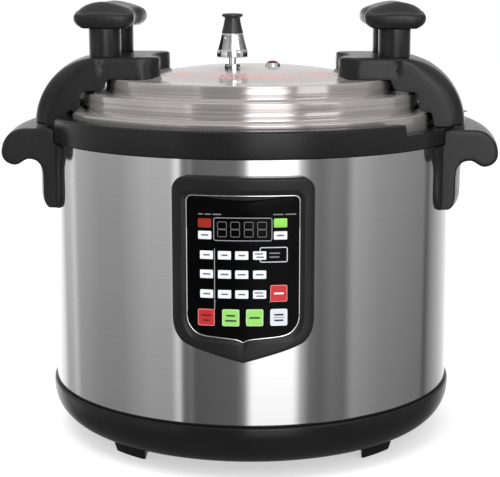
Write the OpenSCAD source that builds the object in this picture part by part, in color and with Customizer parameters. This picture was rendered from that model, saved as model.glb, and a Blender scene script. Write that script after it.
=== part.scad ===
// Commercial electric pressure cooker.
// Origin: centre of the base, at the bottom of the feet. +Z up, control
// panel towards -Y, carry handles along X. Millimetres.

/* [Body] */
// Outer radius of the steel shell
shell_r = 195; // [194:0.5:196]
// Sheet thickness of the steel shell
shell_t = 0.8; // [0.6:0.1:1.2]
// Height where the steel shell ends under the top ring
shell_top = 286.7; // [286:0.1:287]
// Height of the feet
foot_h = 10; // [8:1:10]

/* [Pots] */
// Inner radius of the removable cooking pot
pot_r = 151.5; // [149:0.5:152]
// Wall of the cooking pot
pot_t = 2.5; // [2:0.1:2.6]
// Inner radius of the fixed outer pot
well_r = 158; // [157.5:0.1:158.5]

/* [Lid] */
// Radius of the top tier of the lid
tier1_r = 141; // [139:0.5:142]
// Radius of the middle tier of the lid
tier2_r = 163; // [162:0.5:164]
// Radius of the skirt of the lid
tier3_r = 178; // [177:0.5:179]
// Height of the centre of the domed lid
dome_z = 357.8; // [352:0.1:358]
// Number of locking lugs
lugs = 10; // [10:1:10]
// Angle that one locking lug covers
lug_deg = 14; // [10:1:15]

/* [Handles] */
// Half length of a carry handle, front to back
carry_half = 78; // [60:1:80]
// Half width of a lid arm
arm_half = 69; // [64:1:70]
// Radius of a lid handle post
post_r = 15; // [12:0.5:15.5]
// Distance of the posts from the middle plane, sideways
post_x = 136; // [134:1:138]
// Distance of the posts from the middle plane, front to back
post_y = 49; // [46:1:50]

/* [Keys] */
// Width of a key pad
key_w = 15; // [12:0.5:15.2]

/* [Hidden] */
$fn = 96;

panel_r = 201.3;
key_x = [30.8, -31.6, -10.4, 10.2, 30.9];
key_z = [172.6, 151, 151.1, 151.3, 151.4];
vent_x = -15.6; vent_y = -52;
float_x = 21.6; float_y = -30;
foot_at = [46, 140, 226, 320];
// The nose of a carry handle, its leg and the lid arms are turned about
// upright axes this far beyond the centre, which makes them flatter
nose_s = 230; leg_s = 50; arm_s = 140;
arm_r = 207.4;

// Catmull-Rom curve through a closed list of 2D points
function crp(a, b, c, d, t) =
  0.5 * ((2 * b) + (c - a) * t + (2 * a - 5 * b + 4 * c - d) * t * t
  + (3 * b - a - 3 * c + d) * t * t * t);
function smooth(p, n) = let (m = len(p))
  [for (i = [0 : m - 1]) for (k = [0 : n - 1])
    crp(p[(i + m - 1) % m], p[i], p[(i + 1) % m], p[(i + 2) % m], k / n)];
// Open curve, both ends kept
function smooth_open(p, n) = let (m = len(p))
  concat([for (i = [0 : m - 2]) for (k = [0 : n - 1])
    crp(p[max(i - 1, 0)], p[i], p[i + 1], p[min(i + 2, m - 1)], k / n)],
    [p[m - 1]]);
// Arc of points, centre c, radius r, from angle a0 to a1
function arc(c, r, a0, a1, n) =
  [for (i = [0 : n]) c + r * [cos(a0 + (a1 - a0) * i / n), sin(a0 + (a1 - a0) * i / n)]];
// Rounded rectangle, centred
function rrect(w, h, r) = concat(
  arc([w / 2 - r, h / 2 - r], r, 0, 90, 4),
  arc([-w / 2 + r, h / 2 - r], r, 90, 180, 4),
  arc([-w / 2 + r, -h / 2 + r], r, 180, 270, 4),
  arc([w / 2 - r, -h / 2 + r], r, 270, 360, 4));

module turned(pts) rotate_extrude() polygon(pts);
module ring(r0, r1, z0, z1) translate([0, 0, z0]) difference() {
  cylinder(r = r1, h = z1 - z0);
  translate([0, 0, -1]) cylinder(r = r0, h = z1 - z0 + 2);
}
// Outline in X and Z, carried along Y towards the front
module front_cut(pts) translate([0, -150, 0]) rotate([90, 0, 0])
  linear_extrude(80) polygon(pts);
module place(x, r) rotate([0, 0, asin(x / panel_r)]) translate([0, -r, 0]) children();
// Block on the front of the panel: centre x, z, radial span r0..r1
module front_block(x, z, w, h, c, r0, r1) rotate([0, 0, asin(x / panel_r)])
  translate([0, -r0, z]) rotate([90, 0, 0]) linear_extrude(r1 - r0) polygon(rrect(w, h, c));
// Pie sector in plan between angles a0 and a1, measured from -Y towards +X
module sector(a0, a1, rmax, z0, z1) translate([0, 0, z0]) linear_extrude(z1 - z0)
  polygon(concat([[0, 0]], [for (i = [0 : 6]) let (a = a0 + (a1 - a0) * i / 6)
    [rmax * sin(a), -rmax * cos(a)]]));

// ---------------------------------------------------------------- body

module outer_shell() color("silver") difference() {
  ring(shell_r - shell_t, shell_r, 46, shell_top);
  // window behind the control panel
  translate([-42, -210, 150]) cube([84, 30, 96]);
  // cable entry at the back
  translate([0, 210, 76]) rotate([90, 0, 0]) cylinder(r = 8.2, h = 40);
  for (s = [-1, 1]) for (y = [-34, 34])
    translate([s * 180, y, 250]) rotate([0, s * 90, 0]) cylinder(r = 2.6, h = 30);
}

function bowl() = concat(
  [[145, 10]],
  [for (t = [90 : -6 : 0]) [166 + 32 * cos(t), 44.5 - 34.5 * sin(t)]],
  // rounded shoulder, then a groove and the collar round the shell
  [[198, 47.9], [197.6, 49.2], [196.8, 50], [195.9, 50.2], [195.9, 49.2], [195.1, 49.2], [195.1, 46],
   [191.5, 46], [191.5, 38], [190.5, 32], [187.5, 27], [182, 21.5], [175, 16], [169, 13], [145, 13]]);

module base_ring() color([0.1, 0.1, 0.1]) difference() {
  turned(bowl());
  for (a = foot_at) rotate([0, 0, a]) translate([0, -158, 8]) cylinder(r = 2.3, h = 8);
}

module base_plate() color("gray") difference() {
  translate([0, 0, 13.1]) cylinder(r = 168, h = 1.2);
  for (a = foot_at) rotate([0, 0, a]) translate([0, -158, 12]) cylinder(r = 2.3, h = 4);
  for (a = [0 : 30 : 359]) rotate([0, 0, a]) translate([-3, -120, 12]) cube([6, 50, 4]);
}

// Curved rubber feet that follow the edge of the base
module feet() color([0.12, 0.12, 0.12])
  for (a = foot_at) rotate([0, 0, a]) difference() {
    intersection() {
      turned([[144.6, 0], [169.9, 0], [170.9, 1], [173.8, foot_h + 0.85], [170, foot_h + 0.2],
        [166, foot_h], [143.6, foot_h], [143.6, 1]]);
      sector(-7.2, 7.2, 200, -1, 14);
    }
    translate([0, -158, -1]) cylinder(r = 5.4, h = 6.5);
    translate([0, -158, -1]) cylinder(r = 2.3, h = 14);
  }

module foot_screws() color("silver")
  for (a = foot_at) rotate([0, 0, a]) translate([0, -158, 0]) {
    difference() {
      translate([0, 0, 2.6]) cylinder(r = 4.6, h = 2.8);
      translate([-3, -0.5, 2]) cube([6, 1, 1.8]);
    }
    translate([0, 0, 5.3]) cylinder(r = 2, h = 14);
    translate([0, 0, 14.4]) cylinder(r = 4, h = 3, $fn = 6);
  }

module top_ring() color([0.09, 0.09, 0.09]) difference() {
  turned([[198, shell_top], [198, 309.4], [197.6, 310.4], [196.6, 311], [184.4, 311], [183.5, 310.1],
    [183.5, 304], [189.5, 300], [189.5, 287], [176, 287], [176, 284], [188, 284], [190, 276],
    [193.9, 276], [193.9, shell_top]]);
  // relief that lets each lid arm swing shut
  for (s = [0, 180]) rotate([0, 0, s]) difference() {
    sector(46, 113.8, 230, 301.5, 320);
    translate([0, 0, 300]) cylinder(r = 181, h = 30);
  }
  for (a = [15 : 60 : 359]) rotate([0, 0, a]) translate([0, -182.8, 280]) cylinder(r = 2.1, h = 12);
}

module ring_screws() color("silver")
  for (a = [15 : 60 : 359]) rotate([0, 0, a]) translate([0, -182.8, 0]) {
    translate([0, 0, 289.1]) cylinder(r = 3.6, h = 2);
    translate([0, 0, 278]) cylinder(r = 1.9, h = 11.2);
  }

module outer_pot() color("lightgray") {
  difference() {
    union() {
      turned([[well_r, 62], [well_r, 303], [163, 303], [163, 299], [160, 297], [160, 289], [189.3, 289],
        [189.3, 287.1], [160, 287.1], [160, 60], [5, 60], [5, 62]]);
    }
    for (a = [15 : 60 : 359]) rotate([0, 0, a]) translate([0, -182.8, 280]) cylinder(r = 2.1, h = 12);
  }
  // locking lugs
  for (k = [0 : lugs - 1]) difference() {
    intersection() {
      ring(162.5, 171, 299, 303);
      sector((k + 0.5) * 360 / lugs - lug_deg / 2, (k + 0.5) * 360 / lugs + lug_deg / 2, 260, 295, 306);
    }
  }
}

module inner_pot() color("gainsboro") turned(concat(
  [[0, 80]], arc([pot_r + pot_t - 12, 92], 12, 270, 360, 6),
  [[pot_r + pot_t, 296.5], [157, 297.2], [157, 299.4], [156, 300], [pot_r, 300]],
  arc([pot_r - 9.5, 92], 9.5, 360, 270, 6), [[0, 82.5]]));

module heating_plate() color("darkgray") difference() {
  union() {
    turned([[15.2, 68], [128, 68], [132, 72], [132, 78], [130, 80], [15.2, 80]]);
    for (a = [0 : 120 : 359]) rotate([0, 0, a]) translate([0, -90, 62.05]) cylinder(r = 8, h = 7);
    // embedded element
    translate([0, 0, 66.5]) rotate_extrude() translate([105, 0]) circle(r = 4.5, $fn = 24);
  }
}

module temperature_sensor() color("silver") {
  turned([[0, 70], [14, 70], [14, 78.9], [13.2, 79.7], [0, 79.7]]);
  turned([[0, 64], [3, 64], [3, 70.2], [0, 70.2]]);
}

// Tube of radius r swept along points p, n sides
function unit(v) = v / norm(v);
function tang(p, i) = unit(p[min(i + 1, len(p) - 1)] - p[max(i - 1, 0)]);
module tube(p, r, n) {
  m = len(p);
  pts = [for (i = [0 : m - 1]) let (t = tang(p, i), u = unit(cross(t, [0, 0.01, 1])), v = cross(t, u))
    for (k = [0 : n - 1]) p[i] + r * (cos(360 * k / n) * u + sin(360 * k / n) * v)];
  faces = concat([[for (k = [0 : n - 1]) k]],
    [for (i = [0 : m - 2]) for (k = [0 : n - 1])
      [i * n + k, (i + 1) * n + k, (i + 1) * n + (k + 1) % n, i * n + (k + 1) % n]],
    [[for (k = [n - 1 : -1 : 0]) (m - 1) * n + k]]);
  polyhedron(pts, faces, convexity = 8);
}
module sensor_spring() color("silver")
  tube([for (i = [0 : 56]) [8.5 * cos(i * 25.714), 8.5 * sin(i * 25.714), 63.1 + i * 0.107]], 0.75, 6);

module insulation() color("khaki") ring(161, 171, 66, 276);

module pressure_switch() color("dimgray") {
  translate([60, 0, 42]) cylinder(r = 14, h = 17.9);
  translate([60, 0, 36]) cylinder(r = 7, h = 6.2);
  translate([52, -3, 28]) cube([1, 6, 8.2]);
  translate([67, -3, 28]) cube([1, 6, 8.2]);
}

module power_board() color("darkgreen") {
  translate([-130, -40, 26]) cube([100, 80, 1.6]);
  for (x = [-124, -36]) for (y = [-34, 34]) translate([x, y, 14.3]) cylinder(r = 3, h = 11.7);
}
module power_parts() color("dimgray") {
  translate([-125, -32, 27.65]) cube([28, 28, 20]);
  translate([-92, -32, 27.65]) cube([22, 18, 16]);
  translate([-110, 18, 27.65]) cylinder(r = 9, h = 22);
  translate([-84, 14, 27.65]) cylinder(r = 6, h = 14);
  translate([-66, -30, 27.65]) cube([30, 26, 24]);
  translate([-62, 8, 27.65]) cube([24, 22, 12]);
}

module control_board() color("green") {
  translate([-40, -186, 152]) cube([80, 1.6, 92]);
  translate([-26, -190.9, 216]) cube([52, 4.9, 24]);
  translate([-14, -184.4, 170]) cube([24, 3, 14]);
  for (i = [0 : 4]) translate([key_x[i] - 3 > 34 ? 30 : max(min(key_x[i], 34), -34) - 3, -189.3, max(key_z[i], 156) - 3]) cube([6, 3.3, 6]);
}

module cord_gland() color([0.13, 0.13, 0.13]) difference() {
  translate([0, 186, 76]) rotate([-90, 0, 0]) {
    cylinder(r = 8, h = 17.5);
    translate([0, 0, 9.2]) cylinder(r = 13, h = 3.3, $fn = 48);
    translate([0, 0, 12.4]) cylinder(r1 = 12, r2 = 9.5, h = 5.1);
  }
  translate([0, 180, 76]) rotate([-90, 0, 0]) cylinder(r = 4.6, h = 30);
}
module gland_nut() color([0.13, 0.13, 0.13]) difference() {
  translate([0, 189.4, 76]) rotate([-90, 0, 0]) cylinder(r = 13, h = 4.2, $fn = 6);
  translate([0, 180, 76]) rotate([-90, 0, 0]) cylinder(r = 8.1, h = 20);
}

// ------------------------------------------------------------- handles

function saddle_outline() = smooth([[-72, 225.4], [-80, 227], [-85.5, 231.5], [-87.6, 238], [-88.3, 250], [-89.2, 262], [-91, 270],
  [-93.4, 277], [-94.6, 285.4], [-60, 286.2], [0, 286.4], [60, 286.2], [94.6, 285.4], [93.4, 277], [91, 270], [89.2, 262],
  [88.3, 250], [87.6, 238], [85.5, 231.5], [80, 227], [72, 225.4], [0, 225.2]], 3);

// Curved pad with a pocket for the handle
module saddle() difference() {
  intersection() {
    ring(shell_r + 0.05, 197.5, 225, 286.5);
    translate([100, 0, 0]) rotate([90, 0, 90]) linear_extrude(120) polygon(saddle_outline());
  }
  difference() {
    translate([150, -carry_half - 0.25, 220]) cube([60, 2 * carry_half + 0.5, 70]);
    translate([0, 0, 215]) cylinder(r = 196.25, h = 80);
  }
  for (y = [-34, 34]) translate([180, y, 250]) rotate([0, 90, 0]) cylinder(r = 2.6, h = 30);
}
module handle_saddle_right() color([0.12, 0.12, 0.12]) saddle();
module handle_saddle_left() color([0.12, 0.12, 0.12]) mirror([1, 0, 0]) saddle();

// Section at the ends of the handle, moved to the radius it is turned at
function bent(p, far) = [for (q = p) [norm([q[0] + far, carry_half]), q[1]]];
function nose() = concat([[176, 270], [176, 300.6], [207, 300.6]],
  smooth_open([[207, 300.6], [214, 300], [220.6, 297.6], [226, 293.2], [229.8, 287.4], [231.6, 281], [231.9, 277.6], [231.2, 273.8],
    [229.2, 270.4], [226.3, 267.9], [222.9, 266.5], [219.6, 266], [216.5, 266.5], [213.8, 267.9], [211, 269.8], [208.5, 271],
    [205.8, 271.5], [203, 271.3], [200.4, 270.7]], 3), [[190, 270]]);
function leg() = concat([[170, 225.6]],
  smooth_open([[187.2, 225.6], [189.8, 227.6], [191.7, 231.4], [192.7, 237], [192.8, 246], [192.8, 256], [193.2, 262.6],
    [195.2, 266.6], [198, 269.6], [200.4, 270.9]], 3), [[200, 285], [170, 285]]);

module carry() difference() {
  intersection() {
    union() {
      translate([-nose_s, 0, 0]) turned(bent(nose(), nose_s));
      translate([-leg_s, 0, 0]) turned(bent(leg(), leg_s));
    }
    translate([150, 0, 200]) linear_extrude(120)
      polygon(concat([[0, -carry_half], [76, -carry_half]], arc([76, -carry_half + 6], 6, 270, 350, 4),
        [[100, -carry_half + 16], [100, carry_half - 16]], arc([76, carry_half - 6], 6, 10, 90, 4), [[0, carry_half]]));
  }
  // the ring reaches past the shell above its lower edge
  difference() {
    translate([0, 0, 286.6]) cylinder(r = 198.3, h = 30);
    translate([0, 0, 280]) cylinder(r = 150, h = 40);
  }
  translate([0, 0, 220]) cylinder(r = 196.35, h = 70);
  for (y = [-34, 34]) translate([180, y, 250]) rotate([0, 90, 0]) cylinder(r = 2.45, h = 21);
}
module side_handle_right() color([0.1, 0.1, 0.1]) carry();
module side_handle_left() color([0.1, 0.1, 0.1]) mirror([1, 0, 0]) carry();

module handle_screws() color("silver")
  for (s = [-1, 1]) for (y = [-34, 34])
    translate([s * 186, y, 250]) rotate([0, s * 90, 0]) {
      cylinder(r = 4.4, h = 3.2);
      translate([0, 0, 3]) cylinder(r = 2.4, h = 11.8);
    }

// --------------------------------------------------------------- panel

// Shield outline, inset by o
function shield(o) = let (h = 61.4 - o, c = 12 - min(o, 8)) concat(
  arc([h - c, 272.7 - o - c], c, 0, 90, 6), arc([-h + c, 272.7 - o - c], c, 90, 180, 6),
  smooth_open([[-h, 160], [-h, 149], [-h + 0.9, 141.6], [-h + 3, 135.6 + o * 0.3], [-h + 7.6, 129 + o * 0.6], [-h + 14, 125.3 + o * 0.8],
   [-36 + o * 0.3, 121 + o], [-17, 115.4 + o], [0, 110.7 + o * 1.04]], 2),
  smooth_open([[0, 110.7 + o * 1.04], [17, 115.4 + o], [36 - o * 0.3, 121 + o], [h - 14, 125.3 + o * 0.8],
   [h - 7.6, 129 + o * 0.6], [h - 3, 135.6 + o * 0.3], [h - 0.9, 141.6], [h, 149], [h, 160]], 2));
// Outline of the glossy overlay, grown by o
function face(o) = let (h = 48 + o) concat(
  arc([h - 4, 256.5 + o - 4], 4, 0, 90, 4), arc([-h + 4, 256.5 + o - 4], 4, 90, 180, 4),
  [[-h, 151], [-h + 1, 146.4 - o * 0.3], [-h + 3.6, 141.6 - o * 0.7], [-h + 8.4, 137.2 - o], [-h + 15, 135 - o], [-24.7, 134 - o],
   [-7.4, 132.3 - o], [-3, 131.2 - o], [0, 129.6 - o * 1.1], [3, 131.2 - o], [7.4, 132.3 - o], [24.7, 134 - o], [h - 15, 135 - o],
   [h - 8.4, 137.2 - o], [h - 3.6, 141.6 - o * 0.7], [h - 1, 146.4 - o * 0.3], [h, 151]]);

module panel_bezel() color([0.08, 0.08, 0.08]) difference() {
  union() {
    intersection() { ring(shell_r + 0.05, 203.5, 105, 278); front_cut(shield(0)); }
  }
  // slope down to the overlay, in two steps
  intersection() { ring(202.1, 206, 105, 278); front_cut(face(2.6)); }
  intersection() { ring(202.8, 206, 105, 278); front_cut(face(4.2)); }
  // pocket for the overlay
  intersection() { ring(199.5, 206, 105, 278); front_cut(face(1.25)); }
  // window for the board
  translate([-41, -206, 151]) cube([82, 30, 94]);
}

module panel_overlay() color([0.03, 0.03, 0.03]) difference() {
  intersection() { ring(199.6, panel_r, 105, 278); front_cut(face(0)); }
  for (i = [0 : 4]) front_block(key_x[i], key_z[i], key_w + 0.4, 15.4, 1.3, 195, 206);
  translate([-25, -206, 218.4]) cube([50, 12, 20]);
}

module panel_trim() color("silver") difference() {
  intersection() { ring(199.6, 201.8, 105, 278); front_cut(face(1.15)); }
  front_cut(face(0.05));
}

module display_window() color([0.1, 0.02, 0.02])
  intersection() { ring(199.6, 201.1, 200, 260); translate([-24.95, -206, 218.45]) cube([49.9, 12, 19.9]); }

// Four seven-segment figures, each 8.4 wide and 14.5 high
module display_digits() color("gray") intersection() {
  ring(201.12, 201.4, 200, 260);
  for (x = [-17.75, -6.5, 5.1, 16.45]) {
    for (z = [-6.6, 0, 6.6]) translate([x - 2.7, -206, 228.3 + z - 0.65]) cube([5.4, 20, 1.3]);
    for (s = [-1, 1]) for (z = [-3.3, 3.3]) translate([x + s * 3.5 - 0.65, -206, 228.3 + z - 2.5]) cube([1.3, 20, 5]);
  }
}

module program_windows() color("white") intersection() {
  ring(panel_r + 0.02, 201.5, 150, 260);
  union() {
    for (x = [-31.2, -15.7, -0.9, 14.4]) for (z = [205.9, 189.2, 171.8])
      translate([x - 5.6, -206, z - 3.55]) cube([11.2, 20, 7.1]);
    for (x = [-32.6, 32.1]) translate([x - 5.6, -206, 219.6]) cube([11.2, 20, 7]);
  }
}
module lamp_red() color("red") intersection() {
  ring(panel_r + 0.02, 201.6, 150, 260);
  translate([-38.4, -206, 229.6]) cube([11.4, 20, 7.9]);
}
module lamp_green() color("lime") intersection() {
  ring(panel_r + 0.02, 201.6, 150, 260);
  translate([26.4, -206, 230]) cube([11.4, 20, 7.8]);
}

module key(i) front_block(key_x[i], key_z[i], key_w, 15, 1.1, 200, 201.9);
module key_function() color("red") key(0);
module key_mode() color("red") key(1);
module key_hold() color("limegreen") key(2);
module key_preset() color("limegreen") key(3);
module key_cancel() color("lightgray") key(4);

// ----------------------------------------------------------------- lid

module sealing_gasket() color("whitesmoke") turned([[159.4, 303.3], [168.4, 303.3], [169.4, 304.3],
  [169.4, 309.7], [168.4, 310.7], [160.4, 310.7], [159.4, 309.7], [159.4, 307.4], [162, 306.4], [162, 305.4], [159.4, 304.8]]);

function dome(h, z0, r, n) = [for (i = [0 : n]) let (q = r * (n - i) / n) [q, z0 + (h - z0) * (1 - pow(q / r, 2))]];
function lid_outer() = concat(
  [[tier3_r, 292.5]],
  arc([tier3_r - 2.5, 312.5], 2.5, 0, 90, 4),
  [[tier2_r + 2, 315]], arc([tier2_r + 1.5, 316.5], 1.5, 270, 180, 3),
  arc([tier2_r - 2, 330], 2, 0, 90, 4),
  [[tier1_r + 2, 332]], arc([tier1_r + 1.5, 333.5], 1.5, 270, 180, 3),
  arc([tier1_r - 2, 343.5], 2, 0, 90, 4),
  [[118, 345.5]], dome(dome_z, 345.7, 114, 12));
function lid_inner() = concat(
  [for (i = [12 : -1 : 0]) dome(dome_z - 4, 341.6, 113, 12)[i]],
  [[tier1_r - 4, 341.5], [tier1_r - 4, 328], [tier2_r - 4, 328], [tier2_r - 4, 311], [174, 311], [174, 292.5]]);

module lid_shell() color("lightgray") {
  difference() {
    turned(concat(lid_outer(), lid_inner()));
    translate([vent_x, vent_y, 330]) cylinder(r = 5.1, h = 40);
    translate([float_x, float_y, 330]) cylinder(r = 5.1, h = 40);
    // flat seats for the two valves
    translate([vent_x, vent_y, 353.9]) cylinder(r = 7.7, h = 10);
    translate([float_x, float_y, 355.6]) cylinder(r = 8.5, h = 10);
    for (s = [-1, 1]) for (y = [-44, 44]) translate([s * 112, y, 330]) cylinder(r = 2.6, h = 30);
  }
  for (k = [0 : lugs - 1]) intersection() {
    ring(165.6, 174.4, 292.5, 296.8);
    sector(k * 360 / lugs - lug_deg / 2, k * 360 / lugs + lug_deg / 2, 260, 290, 300);
  }
}

// Outer curve of an arm, to be turned about its own axis
function arm_outer() = concat([[70 + arm_s, 303], [arm_r + arm_s, 303]],
  [for (t = [6 : 6 : 90]) [147.8 + arm_s + (arm_r - 147.8) * pow(cos(t) + 0.00001, 1.03), 303 + 63 * pow(sin(t), 1.03)]],
  [[70 + arm_s, 366]]);
// Everything of the lid that an arm has to clear, as a turned solid
function arm_under() = concat([[0, 290]],
  [for (i = [0 : 12]) [i * 114 / 12, 345.95 + (dome_z - 345.7) * (1 - pow(i / 12, 2))]],
  [[118, 345.7], [148.6, 345.7], [149.4, 343], [151, 338.4], [153.7, 335.8], [168.4, 334.4], [170.6, 333], [171.8, 330.4], [172.6, 319.4],
   [174.6, 317.2], [182, 316], [184, 314], [185.6, 303], [185.6, 290]]);
function arm_plan() = concat(
  [[190, arm_half]], arc([103, arm_half - 19], 19, 90, 180, 6),
  smooth_open([[84, arm_half - 19], [85.6, arm_half - 26], [90.4, arm_half - 34], [94.6, arm_half - 46], [96, 0],
   [94.6, -arm_half + 46], [90.4, -arm_half + 34], [85.6, -arm_half + 26], [84, -arm_half + 19]], 3),
  arc([103, -arm_half + 19], 19, 180, 270, 6), [[190, -arm_half], [197.5, -arm_half + 4], [203, -arm_half + 12], [220, -arm_half + 20],
  [220, arm_half - 20], [203, arm_half - 12], [197.5, arm_half - 4]]);

module arm() difference() {
  intersection() {
    translate([-arm_s, 0, 0]) turned(arm_outer());
    translate([0, 0, 295]) linear_extrude(80) polygon(arm_plan());
    // the long top edges are rounded off
    translate([60, 0, 0]) rotate([90, 0, 90]) linear_extrude(170) polygon([[-arm_half, 300], [arm_half, 300],
      [arm_half, 359.5], [arm_half - 1.2, 363.4], [arm_half - 4.4, 366.5], [-arm_half + 4.4, 366.5], [-arm_half + 1.2, 363.4],
      [-arm_half, 359.5]]);
  }
  turned(arm_under());
  for (y = [-44, 44]) translate([112, y, 340]) cylinder(r = 2.45, h = 17.5);
  for (y = [-post_y, post_y]) {
    translate([post_x, y, 340]) cylinder(r = 2.6, h = 30);
    translate([post_x, y, 340]) cylinder(r = 5.2, h = 10);
  }
}
module lid_arm_right() color([0.13, 0.13, 0.13]) arm();
module lid_arm_left() color([0.13, 0.13, 0.13]) mirror([1, 0, 0]) arm();

module posts() for (y = [-post_y, post_y]) difference() {
  translate([post_x, y, 366.02]) cylinder(r = post_r, h = 26.3);
  translate([post_x, y, 360]) cylinder(r = 2.6, h = 40);
}
module lid_post_right() color([0.13, 0.13, 0.13]) posts();
module lid_post_left() color([0.13, 0.13, 0.13]) mirror([1, 0, 0]) posts();

function grip_side() = smooth_open([[120, 392.4], [113, 395], [108.4, 398.6], [107.4, 403], [108.4, 407.6], [113.6, 411], [122, 413.8],
  [131, 416], [140, 417], [147, 416], [153.6, 413.9], [158.4, 411.2], [162, 407.4], [164, 403.2], [164.4, 400.4], [161.6, 397.4], [156, 394.4], [151, 392.4]], 3);
function grip_plan() = smooth([[107.4, -49], [108.6, -58], [116, -64.4], [136, -66], [156, -64.4], [163.6, -58], [164.6, -49], [163, -34], [158.4, -18],
  [157, 0], [158.4, 18], [163, 34], [164.6, 49], [163.6, 58], [156, 64.4], [136, 66], [116, 64.4], [108.6, 58], [107.4, 49], [109.6, 34], [114.6, 18],
  [116, 0], [114.6, -18], [109.6, -34]], 3);
module grip() difference() {
  intersection() {
    translate([0, 70, 0]) rotate([90, 0, 0]) linear_extrude(140) polygon(grip_side());
    translate([0, 0, 385]) linear_extrude(40) polygon(grip_plan());
  }
  for (y = [-post_y, post_y]) translate([post_x, y, 380]) cylinder(r = 2.45, h = 26);
  for (s = [-1, 1]) translate([135, s * 46 - 2, 412]) cube([10, 4, 8]);
}
module lid_grip_right() color([0.13, 0.13, 0.13]) grip();
module lid_grip_left() color([0.13, 0.13, 0.13]) mirror([1, 0, 0]) grip();

module arm_screws() color("silver")
  for (s = [-1, 1]) for (y = [-44, 44]) translate([s * 112, y, 0]) {
    translate([0, 0, 338]) cylinder(r = 4.4, h = 3.4);
    translate([0, 0, 341]) cylinder(r = 2.4, h = 16);
  }
module grip_screws() color("silver")
  for (s = [-1, 1]) for (y = [-post_y, post_y]) translate([s * post_x, y, 0]) {
    translate([0, 0, 346.6]) cylinder(r = 4.6, h = 3.3);
    translate([0, 0, 349.5]) cylinder(r = 2.4, h = 54);
  }

module vent_pipe() color("silver") translate([vent_x, vent_y, 0]) difference() {
  union() {
    translate([0, 0, 338]) cylinder(r = 5, h = 17.6);
    translate([0, 0, 353.95]) cylinder(r = 7.4, h = 5.85, $fn = 6);
    translate([0, 0, 359.6]) cylinder(r = 3.4, h = 21.4);
    translate([0, 0, 381]) cylinder(r1 = 3.4, r2 = 2, h = 3);
  }
  translate([0, 0, 330]) cylinder(r = 1.5, h = 60);
}
module vent_nut() color("silver") translate([vent_x, vent_y, 345.7]) difference() {
  cylinder(r = 8.4, h = 4, $fn = 6);
  translate([0, 0, -1]) cylinder(r = 5.05, h = 6);
}
module filter_cap() color("silver") translate([vent_x, vent_y, 0]) difference() {
  translate([0, 0, 335]) cylinder(r = 13, h = 14.2);
  translate([0, 0, 336]) cylinder(r = 12, h = 15);
  for (a = [0 : 45 : 359]) rotate([0, 0, a]) translate([10, -1.5, 339]) cube([5, 3, 6]);
  for (x = [-6, 0, 6]) translate([x - 1, -7, 334]) cube([2, 14, 3]);
}

module weight_body() color("silver") translate([vent_x, vent_y, 0]) difference() {
  turned([[0, 366], [14, 366], [15, 366.8], [15, 371.4], [14.6, 372], [12.4, 379.6], [10.2, 388], [0, 388]]);
  translate([0, 0, 360]) cylinder(r = 3.46, h = 21.2);
  translate([0, 0, 381.1]) cylinder(r1 = 3.5, r2 = 2.1, h = 3.1);
  for (a = [30 : 60 : 359]) rotate([0, 0, a]) translate([0, 0, 384]) rotate([90, 0, 0]) cylinder(r = 1.5, h = 20);
}
module weight_cap() color([0.1, 0.1, 0.1]) translate([vent_x, vent_y, 0])
  turned([[0, 388.05], [10.1, 388.05], [9, 393], [7.4, 401.4], [7.4, 402.4], [9.6, 403.8], [10, 404.6], [9.6, 405.6], [6, 406.4], [0, 406.6]]);

module float_seat() color("silver") translate([float_x, float_y, 0]) difference() {
  union() {
    translate([0, 0, 341]) cylinder(r = 5, h = 15);
    turned([[0, 355.65], [8.3, 355.65], [7.9, 356.4], [6.7, 359.4], [0, 359.4]]);
  }
  translate([0, 0, 330]) cylinder(r = 3.06, h = 40);
  translate([0, 0, 357.2]) cylinder(r = 5.9, h = 8);
}
module float_pin() color([0.5, 0.05, 0.08]) translate([float_x, float_y, 0]) {
  turned([[0, 357.4], [5.6, 357.4], [5.6, 358.9], [5, 359.9], [3.6, 360.8], [1.8, 361.3], [0, 361.4]]);
  translate([0, 0, 334.4]) cylinder(r = 3, h = 23.2);
}
module float_clip() color("silver") translate([float_x, float_y, 0]) {
  translate([0, 0, 332]) cylinder(r = 5, h = 2.38);
}

module wire_staple() color("silver") tube([[204.8, 12, 309.5], [208, 12, 309.5], [211.4, 12.8, 309.5], [213.2, 16, 309.5],
  [211.4, 19.2, 309.5], [208, 20, 309.5], [204.4, 20, 309.5]], 0.8, 8);

outer_shell();
base_ring();
base_plate();
feet();
foot_screws();
top_ring();
ring_screws();
outer_pot();
inner_pot();
heating_plate();
temperature_sensor();
sensor_spring();
insulation();
pressure_switch();
power_board();
power_parts();
control_board();
cord_gland();
gland_nut();
handle_saddle_left();
handle_saddle_right();
side_handle_left();
side_handle_right();
handle_screws();
panel_bezel();
panel_overlay();
panel_trim();
display_window();
display_digits();
program_windows();
lamp_red();
lamp_green();
key_function();
key_mode();
key_hold();
key_preset();
key_cancel();
sealing_gasket();
lid_shell();
lid_arm_left();
lid_arm_right();
lid_post_left();
lid_post_right();
lid_grip_left();
lid_grip_right();
arm_screws();
grip_screws();
vent_pipe();
vent_nut();
filter_cap();
weight_body();
weight_cap();
float_seat();
float_pin();
float_clip();
wire_staple();
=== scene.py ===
import math

import bmesh
import bpy
from mathutils import Matrix, Vector
from mathutils.geometry import delaunay_2d_cdt


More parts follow.
